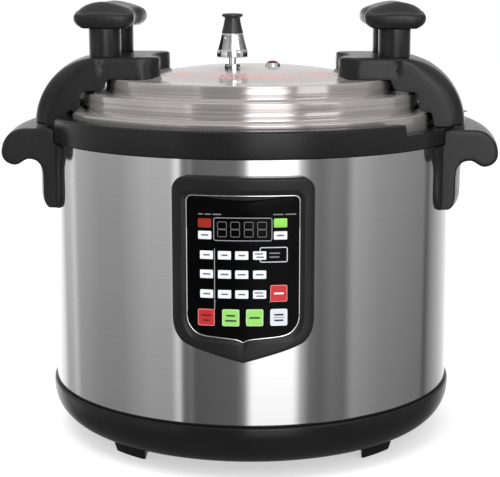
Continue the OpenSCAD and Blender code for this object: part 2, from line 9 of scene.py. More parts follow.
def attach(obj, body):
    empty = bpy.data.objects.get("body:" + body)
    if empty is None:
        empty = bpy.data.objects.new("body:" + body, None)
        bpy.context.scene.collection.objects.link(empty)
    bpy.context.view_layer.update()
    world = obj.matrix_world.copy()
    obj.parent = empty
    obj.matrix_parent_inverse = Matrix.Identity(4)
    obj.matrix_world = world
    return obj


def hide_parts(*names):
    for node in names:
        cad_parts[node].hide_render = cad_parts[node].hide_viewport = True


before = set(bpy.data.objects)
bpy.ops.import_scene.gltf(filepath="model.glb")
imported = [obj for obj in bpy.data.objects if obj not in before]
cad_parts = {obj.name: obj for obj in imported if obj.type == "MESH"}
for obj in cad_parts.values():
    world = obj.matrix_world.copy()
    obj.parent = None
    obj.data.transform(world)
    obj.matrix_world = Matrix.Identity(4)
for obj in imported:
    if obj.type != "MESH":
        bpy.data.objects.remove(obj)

scene = bpy.context.scene
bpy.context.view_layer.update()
MM = 0.001
PI = math.pi


# ------------------------------------------------------------ small maths

def rad(a):
    return a * PI / 180.0


def srgb(r, g, b):
    out = []
    for c in (r, g, b):
        c = c / 255.0
        out.append(c / 12.92 if c <= 0.04045 else ((c + 0.055) / 1.055) ** 2.4)
    return (out[0], out[1], out[2], 1.0)


def lerp(a, b, t):
    return a + (b - a) * t


def smoothstep(a, b, x):
    t = max(0.0, min(1.0, (x - a) / (b - a)))
    return t * t * (3 - 2 * t)


def crp(a, b, c, d, t):
    return tuple(0.5 * (2 * q + (r - p) * t + (2 * p - 5 * q + 4 * r - s) * t * t
                        + (3 * q - p - 3 * r + s) * t ** 3) for p, q, r, s in zip(a, b, c, d))


def smooth(p, n):
    m = len(p)
    return [crp(p[i - 1], p[i], p[(i + 1) % m], p[(i + 2) % m], k / n) for i in range(m) for k in range(n)]


def smooth_open(p, n):
    m = len(p)
    out = [crp(p[max(i - 1, 0)], p[i], p[i + 1], p[min(i + 2, m - 1)], k / n)
           for i in range(m - 1) for k in range(n)]
    return out + [p[m - 1]]


def arc(cx, cy, r, a0, a1, n, ry=None):
    ry = r if ry is None else ry
    return [(cx + r * math.cos(rad(lerp(a0, a1, i / n))), cy + ry * math.sin(rad(lerp(a0, a1, i / n))))
            for i in range(n + 1)]


def rrect(w, h, r, n=6):
    return (arc(w / 2 - r, h / 2 - r, r, 0, 90, n) + arc(-w / 2 + r, h / 2 - r, r, 90, 180, n)
            + arc(-w / 2 + r, -h / 2 + r, r, 180, 270, n) + arc(w / 2 - r, -h / 2 + r, r, 270, 360, n))


def moved(pts, dx, dy):
    return [(x + dx, y + dy) for x, y in pts]


def fillet(pts, rads, n=5, closed=True):
    """Round the corners of a polygon; rads is one radius or one for each corner."""
    out, m = [], len(pts)
    for i in range(m):
        r = rads[i] if isinstance(rads, (list, tuple)) else rads
        p = Vector(pts[i])
        if r <= 0 or (not closed and i in (0, m - 1)):
            out.append((p.x, p.y))
            continue
        a, b = Vector(pts[i - 1]) - p, Vector(pts[(i + 1) % m]) - p
        la, lb = a.length, b.length
        if la < 1e-6 or lb < 1e-6:
            out.append((p.x, p.y))
            continue
        a, b = a / la, b / lb
        ang = math.acos(max(-1, min(1, a.dot(b))))
        if ang > rad(176) or ang < rad(2):
            out.append((p.x, p.y))
            continue
        t = min(r / math.tan(ang / 2), 0.49 * la, 0.49 * lb)
        r = t * math.tan(ang / 2)
        c = p + (a + b).normalized() * (r / math.sin(ang / 2))
        p1, p2 = p + a * t - c, p + b * t - c
        full = p1.angle_signed(p2)
        for k in range(n + 1):
            q = p1.copy()
            q.rotate(Matrix.Rotation(-full * k / n, 2))
            out.append((c.x + q.x, c.y + q.y))
    return out


def area(p):
    return 0.5 * sum(p[i - 1][0] * p[i][1] - p[i][0] * p[i - 1][1] for i in range(len(p)))


def ccw(p):
    return list(p) if area(p) > 0 else list(reversed(p))


def cw(p):
    return list(p) if area(p) < 0 else list(reversed(p))


def clean(p, eps=0.02):
    out = []
    for q in p:
        if not out or math.hypot(q[0] - out[-1][0], q[1] - out[-1][1]) > eps:
            out.append(q)
    while len(out) > 3 and math.hypot(out[0][0] - out[-1][0], out[0][1] - out[-1][1]) <= eps:
        out.pop()
    return out


def normals(p):
    """Unit normals to the left of the direction of travel, with the mitre length."""
    m, out = len(p), []
    for i in range(m):
        a, b, c = Vector(p[i - 1]), Vector(p[i]), Vector(p[(i + 1) % m])
        e, f = (b - a), (c - b)
        e = e.normalized() if e.length > 1e-9 else f.normalized()
        f = f.normalized() if f.length > 1e-9 else e
        n1, n2 = Vector((-e.y, e.x)), Vector((-f.y, f.x))
        n = n1 + n2
        n = n.normalized() if n.length > 1e-6 else n1
        k = 1.0 / max(0.6, n.dot(n1))
        out.append((n.x * k, n.y * k))
    return out


def inset(p, d, nn=None):
    nn = nn or normals(p)
    ds = d if isinstance(d, (list, tuple)) else [d] * len(p)
    return [(q[0] + n[0] * e, q[1] + n[1] * e) for q, n, e in zip(p, nn, ds)]


def inside(p, x, y):
    hit, m = False, len(p)
    for i in range(m):
        x1, y1 = p[i - 1]
        x2, y2 = p[i]
        if (y1 > y) != (y2 > y) and x < (x2 - x1) * (y - y1) / (y2 - y1) + x1:
            hit = not hit
    return hit


def near_edge(p, x, y, d):
    for i in range(len(p)):
        x1, y1 = p[i - 1]
        x2, y2 = p[i]
        ex, ey = x2 - x1, y2 - y1
        l2 = ex * ex + ey * ey
        t = 0 if l2 == 0 else max(0, min(1, ((x - x1) * ex + (y - y1) * ey) / l2))
        if (x1 + t * ex - x) ** 2 + (y1 + t * ey - y) ** 2 < d * d:
            return True
    return False


def interp(tab, x):
    if x <= tab[0][0]:
        return tab[0][1]
    for (a, b), (c, d) in zip(tab, tab[1:]):
        if x <= c:
            return lerp(b, d, (x - a) / (c - a))
    return tab[-1][1]


# ----------------------------------------------------------- mesh makers

def make(name, verts, faces, mat, body, replaces=(), sharp=34.0, cut=None, flip=True):
    """One piece in millimetres. cut is a list of closed tools that are taken away."""
    me = bpy.data.meshes.new(name)
    me.from_pydata([(v[0] * MM, v[1] * MM, v[2] * MM) for v in verts], [], faces)
    bm = bmesh.new()
    bm.from_mesh(me)
    bmesh.ops.remove_doubles(bm, verts=bm.verts, dist=2e-6)
    bmesh.ops.dissolve_degenerate(bm, edges=bm.edges, dist=1e-7)
    loose = [v for v in bm.verts if not v.link_faces]
    if loose:
        bmesh.ops.delete(bm, geom=loose, context="VERTS")
    if flip:
        bmesh.ops.recalc_face_normals(bm, faces=bm.faces)
    bm.to_mesh(me)
    bm.free()
    ob = bpy.data.objects.new(name, me)
    scene.collection.objects.link(ob)
    me.materials.append(mat)
    if cut:
        for i, (cv, cf) in enumerate(cut):
            cm = bpy.data.meshes.new("tool")
            cm.from_pydata([(v[0] * MM, v[1] * MM, v[2] * MM) for v in cv], [], cf)
            bm = bmesh.new()
            bm.from_mesh(cm)
            bmesh.ops.remove_doubles(bm, verts=bm.verts, dist=2e-6)
            bmesh.ops.recalc_face_normals(bm, faces=bm.faces)
            bm.to_mesh(cm)
            bm.free()
            co = bpy.data.objects.new("tool", cm)
            scene.collection.objects.link(co)
            md = ob.modifiers.new("cut", "BOOLEAN")
            md.operation, md.solver, md.object = "DIFFERENCE", "EXACT", co
            dg = bpy.context.evaluated_depsgraph_get()
            new = bpy.data.meshes.new_from_object(ob.evaluated_get(dg))
            ob.modifiers.clear()
            old = ob.data
            ob.data = new
            bpy.data.meshes.remove(old)
            bpy.data.objects.remove(co)
            bpy.data.meshes.remove(cm)
        me = ob.data
        me.name = name
        if not me.materials:
            me.materials.append(mat)
    me.shade_smooth()
    me.set_sharp_from_angle(angle=rad(sharp))
    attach(ob, body)
    if replaces:
        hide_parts(*([replaces] if isinstance(replaces, str) else replaces))
    return ob


def grid_faces(nr, nc, close_r=False, close_c=True, base=0):
    """Faces between nr rings of nc points each."""
    out = []
    for i in range(nr if close_r else nr - 1):
        for k in range(nc if close_c else nc - 1):
            a, b = base + i * nc, base + ((i + 1) % nr) * nc
            out.append((a + k, a + (k + 1) % nc, b + (k + 1) % nc, b + k))
    return out


def revolve(profile, seg=240, cx=0.0, cy=0.0, closed=True, angles=None, clamp=None):
    """A profile of (r, z) turned about the vertical through (cx, cy)."""
    angles = angles or [360.0 * k / seg for k in range(seg)]
    verts = []
    for a in angles:
        s, c = math.sin(rad(a)), math.cos(rad(a))
        for r, z in profile:
            if clamp:
                r, z = clamp(r, z, a)
            verts.append((cx + r * s, cy - r * c, z))
    n, m = len(profile), len(angles)
    faces = []
    for k in range(m):
        a, b = k * n, ((k + 1) % m) * n
        for i in range(n if closed else n - 1):
            j = (i + 1) % n
            faces.append((a + i, b + i, b + j, a + j))
    return verts, faces


def join(*parts):
    verts, faces = [], []
    for v, f in parts:
        base = len(verts)
        verts += v
        faces += [tuple(i + base for i in q) for q in f]
    return verts, faces


def loft(rings, caps=True, loop=False):
    n = len(rings[0])
    verts = [v for r in rings for v in r]
    faces = grid_faces(len(rings), n, close_r=loop)
    if caps and not loop:
        faces.append(tuple(range(n)))
        faces.append(tuple(reversed(range((len(rings) - 1) * n, len(rings) * n))))
    return verts, faces


def front(u, v, r):
    return (u, -math.sqrt(max(0.0, r * r - u * u)), v)


def right(u, v, r):
    return (math.sqrt(max(0.0, r * r - u * u)), u, v)


def left(u, v, r):
    return (-math.sqrt(max(0.0, r * r - u * u)), u, v)


def patch(loops, step, extra=None):
    """Triangles that fill loops[0] less the other loops, with a grid inside.
    Gives 2D points, triangles, and for each loop the index of each of its points."""
    pts, edges, marks = [], [], []
    for lp in loops:
        base = len(pts)
        pts += [Vector(p) for p in lp]
        edges += [(base + i, base + (i + 1) % len(lp)) for i in range(len(lp))]
        marks.append((base, len(lp)))
    xs, ys = [p[0] for p in loops[0]], [p[1] for p in loops[0]]
    nx = max(1, int((max(xs) - min(xs)) / step))
    ny = max(1, int((max(ys) - min(ys)) / step))
    for i in range(1, nx):
        for j in range(1, ny):
            x = lerp(min(xs), max(xs), (i + 0.25 * (j % 2)) / nx)
            y = lerp(min(ys), max(ys), j / ny)
            if not inside(loops[0], x, y) or any(inside(h, x, y) for h in loops[1:]):
                continue
            if any(near_edge(h, x, y, step * 0.4) for h in loops):
                continue
            pts.append(Vector((x, y)))
    v, _, f, ov, _, _ = delaunay_2d_cdt(pts, edges, [], 0, 1e-5, True)
    v2 = [(p.x, p.y) for p in v]
    where = {}
    for i, o in enumerate(ov):
        for q in o:
            where[q] = i
    tris = []
    for t in f:
        cx = sum(v2[i][0] for i in t) / len(t)
        cy = sum(v2[i][1] for i in t) / len(t)
        if inside(loops[0], cx, cy) and not any(inside(h, cx, cy) for h in loops[1:]):
            tris.append(tuple(t))
    ids = [[where[b + i] for i in range(n)] for b, n in marks]
    return v2, tris, ids


def plate(outline, ro, ri, to3d, holes=(), bevel=0.4, steps=2, grid=5.0, hole_bevel=None):
    """A sheet between two radii on the drum, with rounded edges."""
    hb = bevel if hole_bevel is None else hole_bevel
    loops = [ccw(clean(outline))] + [cw(clean(h)) for h in holes]
    bev = [bevel] + [hb] * len(holes)
    top = [inset(lp, b) for lp, b in zip(loops, bev)]
    v2, tris, ids = patch(top, grid)
    verts = [to3d(x, y, ro) for x, y in v2]
    faces = [tuple(t) for t in tris]
    base = len(verts)
    low = {}
    for li, lp in enumerate(loops):
        for i, p in zip(ids[li], lp):
            low[i] = p
    verts += [to3d(*(low.get(i, p)), ri) for i, p in enumerate(v2)]
    faces += [tuple(reversed([i + base for i in t])) for t in tris]
    for li, lp in enumerate(loops):
        b, n = bev[li], len(lp)
        rings = [ids[li]]
        for k in range(1, steps + 1):
            a = rad(90 * k / steps)
            ring = inset(lp, b * (1 - math.sin(a)))
            s = len(verts)
            verts += [to3d(x, y, ro - b * (1 - math.cos(a))) for x, y in ring]
            rings.append(list(range(s, s + n)))
        rings.append([i + base for i in ids[li]])
        for r1, r2 in zip(rings, rings[1:]):
            for k in range(n):
                j = (k + 1) % n
                faces.append((r1[k], r1[j], r2[j], r2[k]))
    return verts, faces


def strip(outer, inner, r0, r1, to3d, edge=0.15):
    """A closed raised line between two outlines with the same number of points."""
    rings = []
    for t, r in ((0, r0), (0, r1 - edge), (edge, r1), (1, r1), (2, r1 - edge), (2, r0)):
        ring = []
        for a, b in zip(outer, inner):
            d = math.hypot(a[0] - b[0], a[1] - b[1])
            if t == 0:
                q = a
            elif t == 2:
                q = b
            else:
                f = min(0.45, edge / max(d, 1e-6))
                f = f if t == edge else 1 - f
                q = (lerp(a[0], b[0], f), lerp(a[1], b[1], f))
            ring.append(to3d(q[0], q[1], r))
        rings.append(ring)
    return loft(rings, loop=True)


def divide(loop, step):
    """The same outline with its long sides cut into shorter ones."""
    out = []
    for k, (x0, y0) in enumerate(loop):
        x1, y1 = loop[(k + 1) % len(loop)]
        m = max(1, int(math.ceil(math.hypot(x1 - x0, y1 - y0) / step)))
        out += [(lerp(x0, x1, j / m), lerp(y0, y1, j / m)) for j in range(m)]
    return out


def frame_line(outline, width, r0, r1, to3d):
    o = ccw(clean(outline))
    i = inset(o, width)
    oo, ii = [], []
    for k in range(len(o)):
        k2 = (k + 1) % len(o)
        m = max(1, int(math.ceil(math.hypot(o[k2][0] - o[k][0], o[k2][1] - o[k][1]) / 5.0)))
        for j in range(m):
            oo.append((lerp(o[k][0], o[k2][0], j / m), lerp(o[k][1], o[k2][1], j / m)))
            ii.append((lerp(i[k][0], i[k2][0], j / m), lerp(i[k][1], i[k2][1], j / m)))
    return strip(oo, ii, r0, r1, to3d, edge=min(0.12, width * 0.3))


def bar(cx, cz, w, h, r0, r1, turn=0.0, c=None):
    """A small printed bar on the front of the panel."""
    c = min(w, h) * 0.3 if c is None else c
    pts = rrect(w, h, c, 2)
    s, k = math.sin(rad(turn)), math.cos(rad(turn))
    pts = [(cx + x * k - y * s, cz + x * s + y * k) for x, y in pts]
    lo = [front(x, z, r0) for x, z in pts]
    hi = [front(x, z, r1) for x, z in pts]
    return loft([lo, hi])


def pad(cx, cz, w, h, c, r0, r1, bevel=0.5, crown=0.0):
    """A flat-faced button whose face is square to the drum's radius."""
    a = math.asin(cx / 201.3)
    s, k = math.sin(a), math.cos(a)

    def at(u, v, d):
        return (d * s + u * k, -d * k + u * s, cz + v)
    rings = [[at(u, v, r0) for u, v in rrect(w, h, c, 5)]]
    for i in range(4):
        q = rad(30 * i)
        e = bevel * (1 - math.cos(q))
        rings.append([at(u, v, r1 - bevel * (1 - math.sin(q)) - crown)
                      for u, v in rrect(w - 2 * e, h - 2 * e, max(0.2, c - e), 5)])
    for f in (0.12, 0.3, 0.5, 0.75):
        e = bevel + f * (min(w, h) / 2 - bevel)
        t = 1 - (1 - f) ** 2
        rings.append([at(u, v, r1 - crown + crown * t)
                      for u, v in rrect(w - 2 * e, h - 2 * e, max(0.1, c * (1 - f) * 0.8), 5)])
    return loft(rings)


def block(r0, r1, z0, z1, a0, a1, n=10):
    """A lug: a block between two radii and two angles."""
    sec = fillet([(r0, z0), (r1, z0), (r1, z1), (r0, z1)], 0.6, 2)
    rings = []
    for i in range(n + 1):
        a = rad(lerp(a0, a1, i / n))
        rings.append([(r * math.sin(a), -r * math.cos(a), z) for r, z in sec])
    return loft(rings)


# -------------------------------------------------------------- materials

class Mat:
    def __init__(self, name, base, metallic=0.0, rough=0.5, spec=0.5, aniso=0.0, coat=0.0, coat_rough=0.1, sheen=0.0):
        self.m = bpy.data.materials.new(name)
        self.m.use_nodes = True
        self.nt = self.m.node_tree
        self.b = next(n for n in self.nt.nodes if n.type == "BSDF_PRINCIPLED")
        self.base = base
        b = self.b.inputs
        b["Base Color"].default_value = base
        b["Metallic"].default_value = metallic
        b["Roughness"].default_value = rough
        b["Specular IOR Level"].default_value = spec
        b["Anisotropic"].default_value = aniso
        b["Anisotropic Rotation"].default_value = 0.25 if aniso else 0.0
        b["Coat Weight"].default_value = coat
        b["Coat Roughness"].default_value = coat_rough
        b["Sheen Weight"].default_value = sheen
        self.rough = rough
        self.coord = self.nt.nodes.new("ShaderNodeTexCoord").outputs["Object"]
        self.height = None

    def new(self, kind, **props):
        n = self.nt.nodes.new(kind)
        for k, v in props.items():
            setattr(n, k, v)
        return n

    def link(self, a, b):
        self.nt.links.new(a, b)

    def scaled(self, sx, sy, sz, coord=None):
        n = self.new("ShaderNodeMapping")
        n.inputs["Scale"].default_value = (sx, sy, sz)
        self.link(coord or self.coord, n.inputs["Vector"])
        return n.outputs["Vector"]

    def polar(self, sr, sa, sz):
        """Coordinates that run round the vertical axis: radius, angle, height."""
        sep = self.new("ShaderNodeSeparateXYZ")
        self.link(self.coord, sep.inputs[0])
        sq = []
        for ax in ("X", "Y"):
            q = self.new("ShaderNodeMath", operation="MULTIPLY")
            self.link(sep.outputs[ax], q.inputs[0])
            self.link(sep.outputs[ax], q.inputs[1])
            sq.append(q)
        add = self.new("ShaderNodeMath", operation="ADD")
        self.link(sq[0].outputs[0], add.inputs[0])
        self.link(sq[1].outputs[0], add.inputs[1])
        rt = self.new("ShaderNodeMath", operation="SQRT")
        self.link(add.outputs[0], rt.inputs[0])
        # the angle enters as the point on the unit circle, which has no seam
        outs = []
        for ax in ("X", "Y"):
            d = self.new("ShaderNodeMath", operation="DIVIDE")
            self.link(sep.outputs[ax], d.inputs[0])
            self.link(rt.outputs[0], d.inputs[1])
            m = self.new("ShaderNodeMath", operation="MULTIPLY")
            m.inputs[1].default_value = sa
            self.link(d.outputs[0], m.inputs[0])
            outs.append(m)
        r = self.new("ShaderNodeMath", operation="MULTIPLY")
        r.inputs[1].default_value = sr
        self.link(rt.outputs[0], r.inputs[0])
        z = self.new("ShaderNodeMath", operation="MULTIPLY_ADD")
        z.inputs[1].default_value = sz
        self.link(sep.outputs["Z"], z.inputs[0])
        self.link(r.outputs[0], z.inputs[2])
        comb = self.new("ShaderNodeCombineXYZ")
        self.link(outs[0].outputs[0], comb.inputs[0])
        self.link(outs[1].outputs[0], comb.inputs[1])
        self.link(z.outputs[0], comb.inputs[2])
        return comb.outputs[0]

    def noise(self, vec, scale=1.0, detail=2.0, rough=0.5):
        n = self.new("ShaderNodeTexNoise")
        n.inputs["Scale"].default_value = scale
        n.inputs["Detail"].default_value = detail
        n.inputs["Roughness"].default_value = rough
        self.link(vec, n.inputs["Vector"])
        return n.outputs["Fac"]

    def remap(self, fac, a, b, lo=0.3, hi=0.7):
        n = self.new("ShaderNodeMapRange")
        n.inputs["From Min"].default_value = lo
        n.inputs["From Max"].default_value = hi
        n.inputs["To Min"].default_value = a
        n.inputs["To Max"].default_value = b
        self.link(fac, n.inputs["Value"])
        return n.outputs["Result"]

    def vary_rough(self, fac, d, lo=0.3, hi=0.7):
        self.link(self.remap(fac, self.rough - d, self.rough + d, lo, hi), self.b.inputs["Roughness"])
        return self

    def vary_color(self, fac, other, lo=0.35, hi=0.65):
        mix = self.new("ShaderNodeMix", data_type="RGBA")
        mix.inputs["A"].default_value = self.base
        mix.inputs["B"].default_value = other
        for s in mix.inputs:
            if s.name == "A" and s.type == "RGBA":
                s.default_value = self.base
            if s.name == "B" and s.type == "RGBA":
                s.default_value = other
        self.link(self.remap(fac, 0.0, 1.0, lo, hi), mix.inputs["Factor"])
        out = next(o for o in mix.outputs if o.type == "RGBA")
        self.link(out, self.b.inputs["Base Color"])
        return self

    def bump(self, fac, strength, distance):
        n = self.new("ShaderNodeBump")
        n.inputs["Strength"].default_value = strength
        n.inputs["Distance"].default_value = distance
        self.link(fac, n.inputs["Height"])
        if self.height is not None:
            self.link(self.height, n.inputs["Normal"])
        self.height = n.outputs["Normal"]
        self.link(self.height, self.b.inputs["Normal"])
        return self

    def tangent(self):
        t = self.new("ShaderNodeTangent", direction_type="RADIAL", axis="Z")
        self.link(t.outputs[0], self.b.inputs["Tangent"])
        return self


def plastic(name, base, rough=0.45, spec=0.35, grain=900.0, depth=0.00006, tone=0.25, coat=0.0):
    """Moulded black plastic: fine grain, faint flow marks, tone that wanders a little."""
    m = Mat(name, base, 0.0, rough, spec, coat=coat)
    fine = m.noise(m.scaled(grain, grain, grain), 1.0, 3.0, 0.6)
    broad = m.noise(m.scaled(14, 14, 22), 1.0, 2.0)
    m.vary_rough(fine, 0.07)
    m.vary_color(broad, tuple(c * (1 + tone) for c in base[:3]) + (1.0,))
    m.bump(fine, 0.5, depth)
    return m


def metal(name, base, rough=0.25, lines=900.0, spread=0.06, tone=0.06, wave=0.0, aniso=0.0, depth=0.000004):
    """Turned or brushed metal: fine lines round the axis, in roughness, tone and height."""
    m = Mat(name, base, 1.0, rough, 0.5, aniso=aniso)
    rings = m.noise(m.polar(lines, 2.0, lines), 1.0, 3.0, 0.65)
    m.vary_rough(rings, spread)
    m.vary_color(rings, tuple(max(0.0, c * (1 - tone)) for c in base[:3]) + (1.0,))
    m.bump(rings, 0.4, depth)
    if wave:
        broad = m.noise(m.scaled(9, 9, 5), 1.0, 1.0)
        m.bump(broad, 1.0, wave)
    if aniso:
        m.tangent()
    return m


def printed(name, base, rough=0.4, tone=0.08):
    """Printed or moulded colour: a faint screen texture and slightly uneven ink."""
    m = Mat(name, base, 0.0, rough, 0.4)
    n = m.noise(m.scaled(1500, 1500, 1500), 1.0, 2.0)
    m.vary_color(n, tuple(c * (1 - tone) for c in base[:3]) + (1.0,))
    m.vary_rough(n, 0.04)
    return m


DRUM = metal("drum_steel", (0.60, 0.60, 0.603, 1), 0.10, 620, 0.022, 0.035, wave=0.00005, aniso=0.75, depth=0.0000012)
LID = metal("spun_aluminium", (0.53, 0.497, 0.490, 1), 0.14, 520, 0.03, 0.06, wave=0.00003, depth=0.000002)
LID.b.inputs["Metallic"].default_value = 0.62
POT_IN = metal("pot_aluminium", (0.70, 0.70, 0.71, 1), 0.34, 380, 0.08, 0.10)
POT_OUT = metal("pot_steel", (0.60, 0.60, 0.60, 1), 0.28, 500, 0.06, 0.06)
CAST = metal("cast_plate", (0.50, 0.50, 0.50, 1), 0.5, 160, 0.1, 0.2, depth=0.00003)
CHROME = metal("chrome", (0.83, 0.83, 0.84, 1), 0.07, 300, 0.02, 0.03, depth=0.000001)
ZINC = metal("zinc_plate", (0.60, 0.60, 0.56, 1), 0.3, 260, 0.08, 0.12)
SHEET = metal("sheet_steel", (0.5, 0.5, 0.5, 1), 0.42, 60, 0.1, 0.2)
TRIM = metal("trim_silver", (0.80, 0.81, 0.83, 1), 0.22, 300, 0.04, 0.04)

RING = plastic("ring_black", (0.0085, 0.0085, 0.0086, 1), 0.26, 0.28, 700, 0.00001)
BASE = plastic("base_black", (0.0078, 0.0078, 0.0081, 1), 0.20, 0.22, 700, 0.00001)
HANDLE = plastic("handle_black", (0.0132, 0.0132, 0.0134, 1), 0.30, 0.27, 620, 0.00002)
BEZEL = plastic("bezel_black", (0.0105, 0.0105, 0.0109, 1), 0.34, 0.21, 900, 0.00003)
FOOT = plastic("foot_rubber", (0.0050, 0.0050, 0.0052, 1), 0.55, 0.16, 500, 0.00004)
CAPB = plastic("valve_black", (0.024, 0.024, 0.025, 1), 0.30, 0.45, 900, 0.00003)
RECESS = plastic("recess_black", (0.004, 0.004, 0.004, 1), 0.8, 0.1, 500)
GLAND = plastic("gland_black", (0.03, 0.03, 0.03, 1), 0.45, 0.4, 700)
DARKPART = plastic("part_dark", (0.06, 0.06, 0.07, 1), 0.5, 0.4, 500)
BOARD = plastic("board_green", (0.02, 0.12, 0.05, 1), 0.35, 0.5, 300)
SEAL = plastic("silicone", (0.78, 0.78, 0.74, 1), 0.5, 0.4, 300, 0.00002, tone=-0.06)
WOOL = plastic("glass_wool", (0.75, 0.70, 0.55, 1), 0.95, 0.1, 260, 0.0008, tone=-0.2)
FLOATRED = plastic("float_red", (0.085, 0.002, 0.008, 1), 0.28, 0.35, 500, 0.00002)

OVERLAY = Mat("overlay_gloss", (0.0016, 0.0016, 0.0018, 1), 0.0, 0.20, 0.03, coat=0.0)
_o = OVERLAY.noise(OVERLAY.scaled(500, 500, 500), 1.0, 2.0)
OVERLAY.vary_rough(_o, 0.04)
OVERLAY.vary_color(OVERLAY.noise(OVERLAY.scaled(12, 12, 12)), (0.0026, 0.0026, 0.0028, 1))
DISPLAY = Mat("display_smoked", (0.0012, 0.0010, 0.0010, 1), 0.0, 0.10, 0.05)
_d = DISPLAY.noise(DISPLAY.scaled(200, 200, 200), 1.0, 1.0)
DISPLAY.vary_rough(_d, 0.02)
DISPLAY.vary_color(_d, (0.0016, 0.0012, 0.0012, 1))
DIGIT = printed("digit_grey", srgb(92, 92, 94), 0.5)
LINE = printed("line_grey", srgb(140, 141, 144), 0.4)
LINEB = printed("line_bright", srgb(205, 206, 210), 0.4)
LEGEND = printed("legend_grey", srgb(120, 120, 124), 0.5)
WHITE = printed("window_white", srgb(232, 234, 238), 0.45)
MARK = printed("mark_dark", srgb(95, 98, 105), 0.6)
KEYMARK = printed("key_mark_dark", srgb(40, 44, 46), 0.5)
MARKW = printed("mark_white", srgb(240, 240, 240), 0.5)
KRED = printed("key_red", srgb(189, 28, 32), 0.35)
KDRED = printed("mark_deep_red", srgb(95, 8, 12), 0.5)
KGRN = printed("key_green", srgb(145, 211, 99), 0.35)
KGRY = printed("key_grey", srgb(212, 217, 224), 0.35)
LRED = printed("lamp_red", srgb(148, 34, 14), 0.3)
LGRN = printed("lamp_green", srgb(141, 211, 82), 0.3)
BORDER = printed("key_border", srgb(215, 150, 150), 0.4)
BORDERG = printed("key_border_green", srgb(205, 235, 190), 0.4)
PINK = printed("lid_print", srgb(208, 158, 154), 0.5, 0.2)

# ------------------------------------------------------------ the drum

profile = [(195.0, 46.0), (195.0, 286.7), (194.2, 286.7), (194.2, 46.0)]
levels = [46.0, 80, 120, 150, 198, 246, 270, 286.7]
ang = sorted(set([k * 1.0 for k in range(360)] + [12.44, 347.56]))
verts, faces = [], []
for a in ang:
    for r in (195.0, 194.2):
        for z in levels:
            verts.append((r * math.sin(rad(a)), -r * math.cos(rad(a)), z))
nl, na = len(levels), len(ang)


def vid(k, side, i):
    return (k % na) * 2 * nl + side * nl + i


def open_cell(k, i):
    a = (ang[k % na] + (ang[(k + 1) % na] if k + 1 < na else 360.0)) / 2
    return (a < 12.44 or a > 347.56) and 150 <= levels[i] < 246


for k in range(na):
    for i in range(nl - 1):
        if not open_cell(k, i):
            faces.append((vid(k, 0, i), vid(k + 1, 0, i), vid(k + 1, 0, i + 1), vid(k, 0, i + 1)))
            faces.append((vid(k, 1, i), vid(k, 1, i + 1), vid(k + 1, 1, i + 1), vid(k + 1, 1, i)))
            if i == 0:
                faces.append((vid(k, 0, 0), vid(k, 1, 0), vid(k + 1, 1, 0), vid(k + 1, 0, 0)))
            if i == nl - 2:
                faces.append((vid(k, 0, nl - 1), vid(k + 1, 0, nl - 1), vid(k + 1, 1, nl - 1), vid(k, 1, nl - 1)))
            if i + 1 < nl - 1 and open_cell(k, i + 1):
                faces.append((vid(k, 0, i + 1), vid(k + 1, 0, i + 1), vid(k + 1, 1, i + 1), vid(k, 1, i + 1)))
            if i > 0 and open_cell(k, i - 1):
                faces.append((vid(k, 0, i), vid(k, 1, i), vid(k + 1, 1, i), vid(k + 1, 0, i)))
            if open_cell(k + 1, i):
                faces.append((vid(k + 1, 0, i), vid(k + 1, 1, i), vid(k + 1, 1, i + 1), vid(k + 1, 0, i + 1)))
            if open_cell(k - 1, i):
                faces.append((vid(k, 0, i), vid(k, 0, i + 1), vid(k, 1, i + 1), vid(k, 1, i)))
make("drum", verts, faces, DRUM.m, "cooker", "outer_shell")

# base bowl with a double bead under the drum
bowl = ([(145, 10)] + [(166 + 32 * math.cos(rad(t)), 44.5 - 34.5 * math.sin(rad(t))) for t in range(90, -1, -3)]
        + arc(195.75, 47.9, 2.25, 0, 84, 7)
        + [(195.6, 50.0), (195.35, 49.7), (195.25, 50.2), (195.85, 51.85), (195.75, 52.0), (195.15, 52.0),
           (195.15, 46), (191.5, 46), (191.5, 38), (190.5, 32), (187.5, 27), (182, 21.5), (175, 16), (169, 13), (145, 13)])
v, f = revolve(bowl, 300)
make("base_bowl", v, f, BASE.m, "cooker", "base_ring", sharp=40)

# feet, curved like the edge of the base
parts, tools = [], []
foot = fillet([(144.6, 0), (170.0, 0), (173.8, 10.85), (170, 10.2), (166, 10.02), (143.6, 10.02)], [1.2, 1.4, 0.4, 0, 0, 0.5], 4)
fc = (158.0, 7.0)
for a in (46, 140, 226, 320):
    rings = []
    for q in (0.0, 0.15, 0.35, 0.6, 0.8, 1.0):
        e = 1 - math.sin(PI / 2 * q)
        h = 1 - math.cos(PI / 2 * q)
        ring = []
        for r, z in foot:
            d = 5.0 if r > fc[0] else 1.2
            ring.append((r + (d if r < fc[0] else -d) * e, z + (0.8 * e if z < 6 else 0.0), 7.15 - math.degrees(d * h / 165)))
        rings.append(ring)
    mid = [[(r, z, ang) for r, z in foot] for ang in (5.2, 3.6, 1.8, 0)]
    full = [[(r, z, g) for r, z, g in ring] for ring in rings]
    seq = [[(r, z, -g) for r, z, g in ring] for ring in full] + [[(r, z, -g) for r, z, g in ring] for ring in mid[:-1]] \
        + list(reversed(mid)) + list(reversed(full))
    rr = [[(r * math.sin(rad(a + g)), -r * math.cos(rad(a + g)), z) for r, z, g in ring] for ring in seq]
    parts.append(loft(rr))
    cx, cy = 158 * math.sin(rad(a)), -158 * math.cos(rad(a))
    tools.append(revolve([(0, -2), (5.4, -2), (5.4, 5.5), (2.3, 5.5), (2.3, 14), (0, 14)], 32, cx, cy))
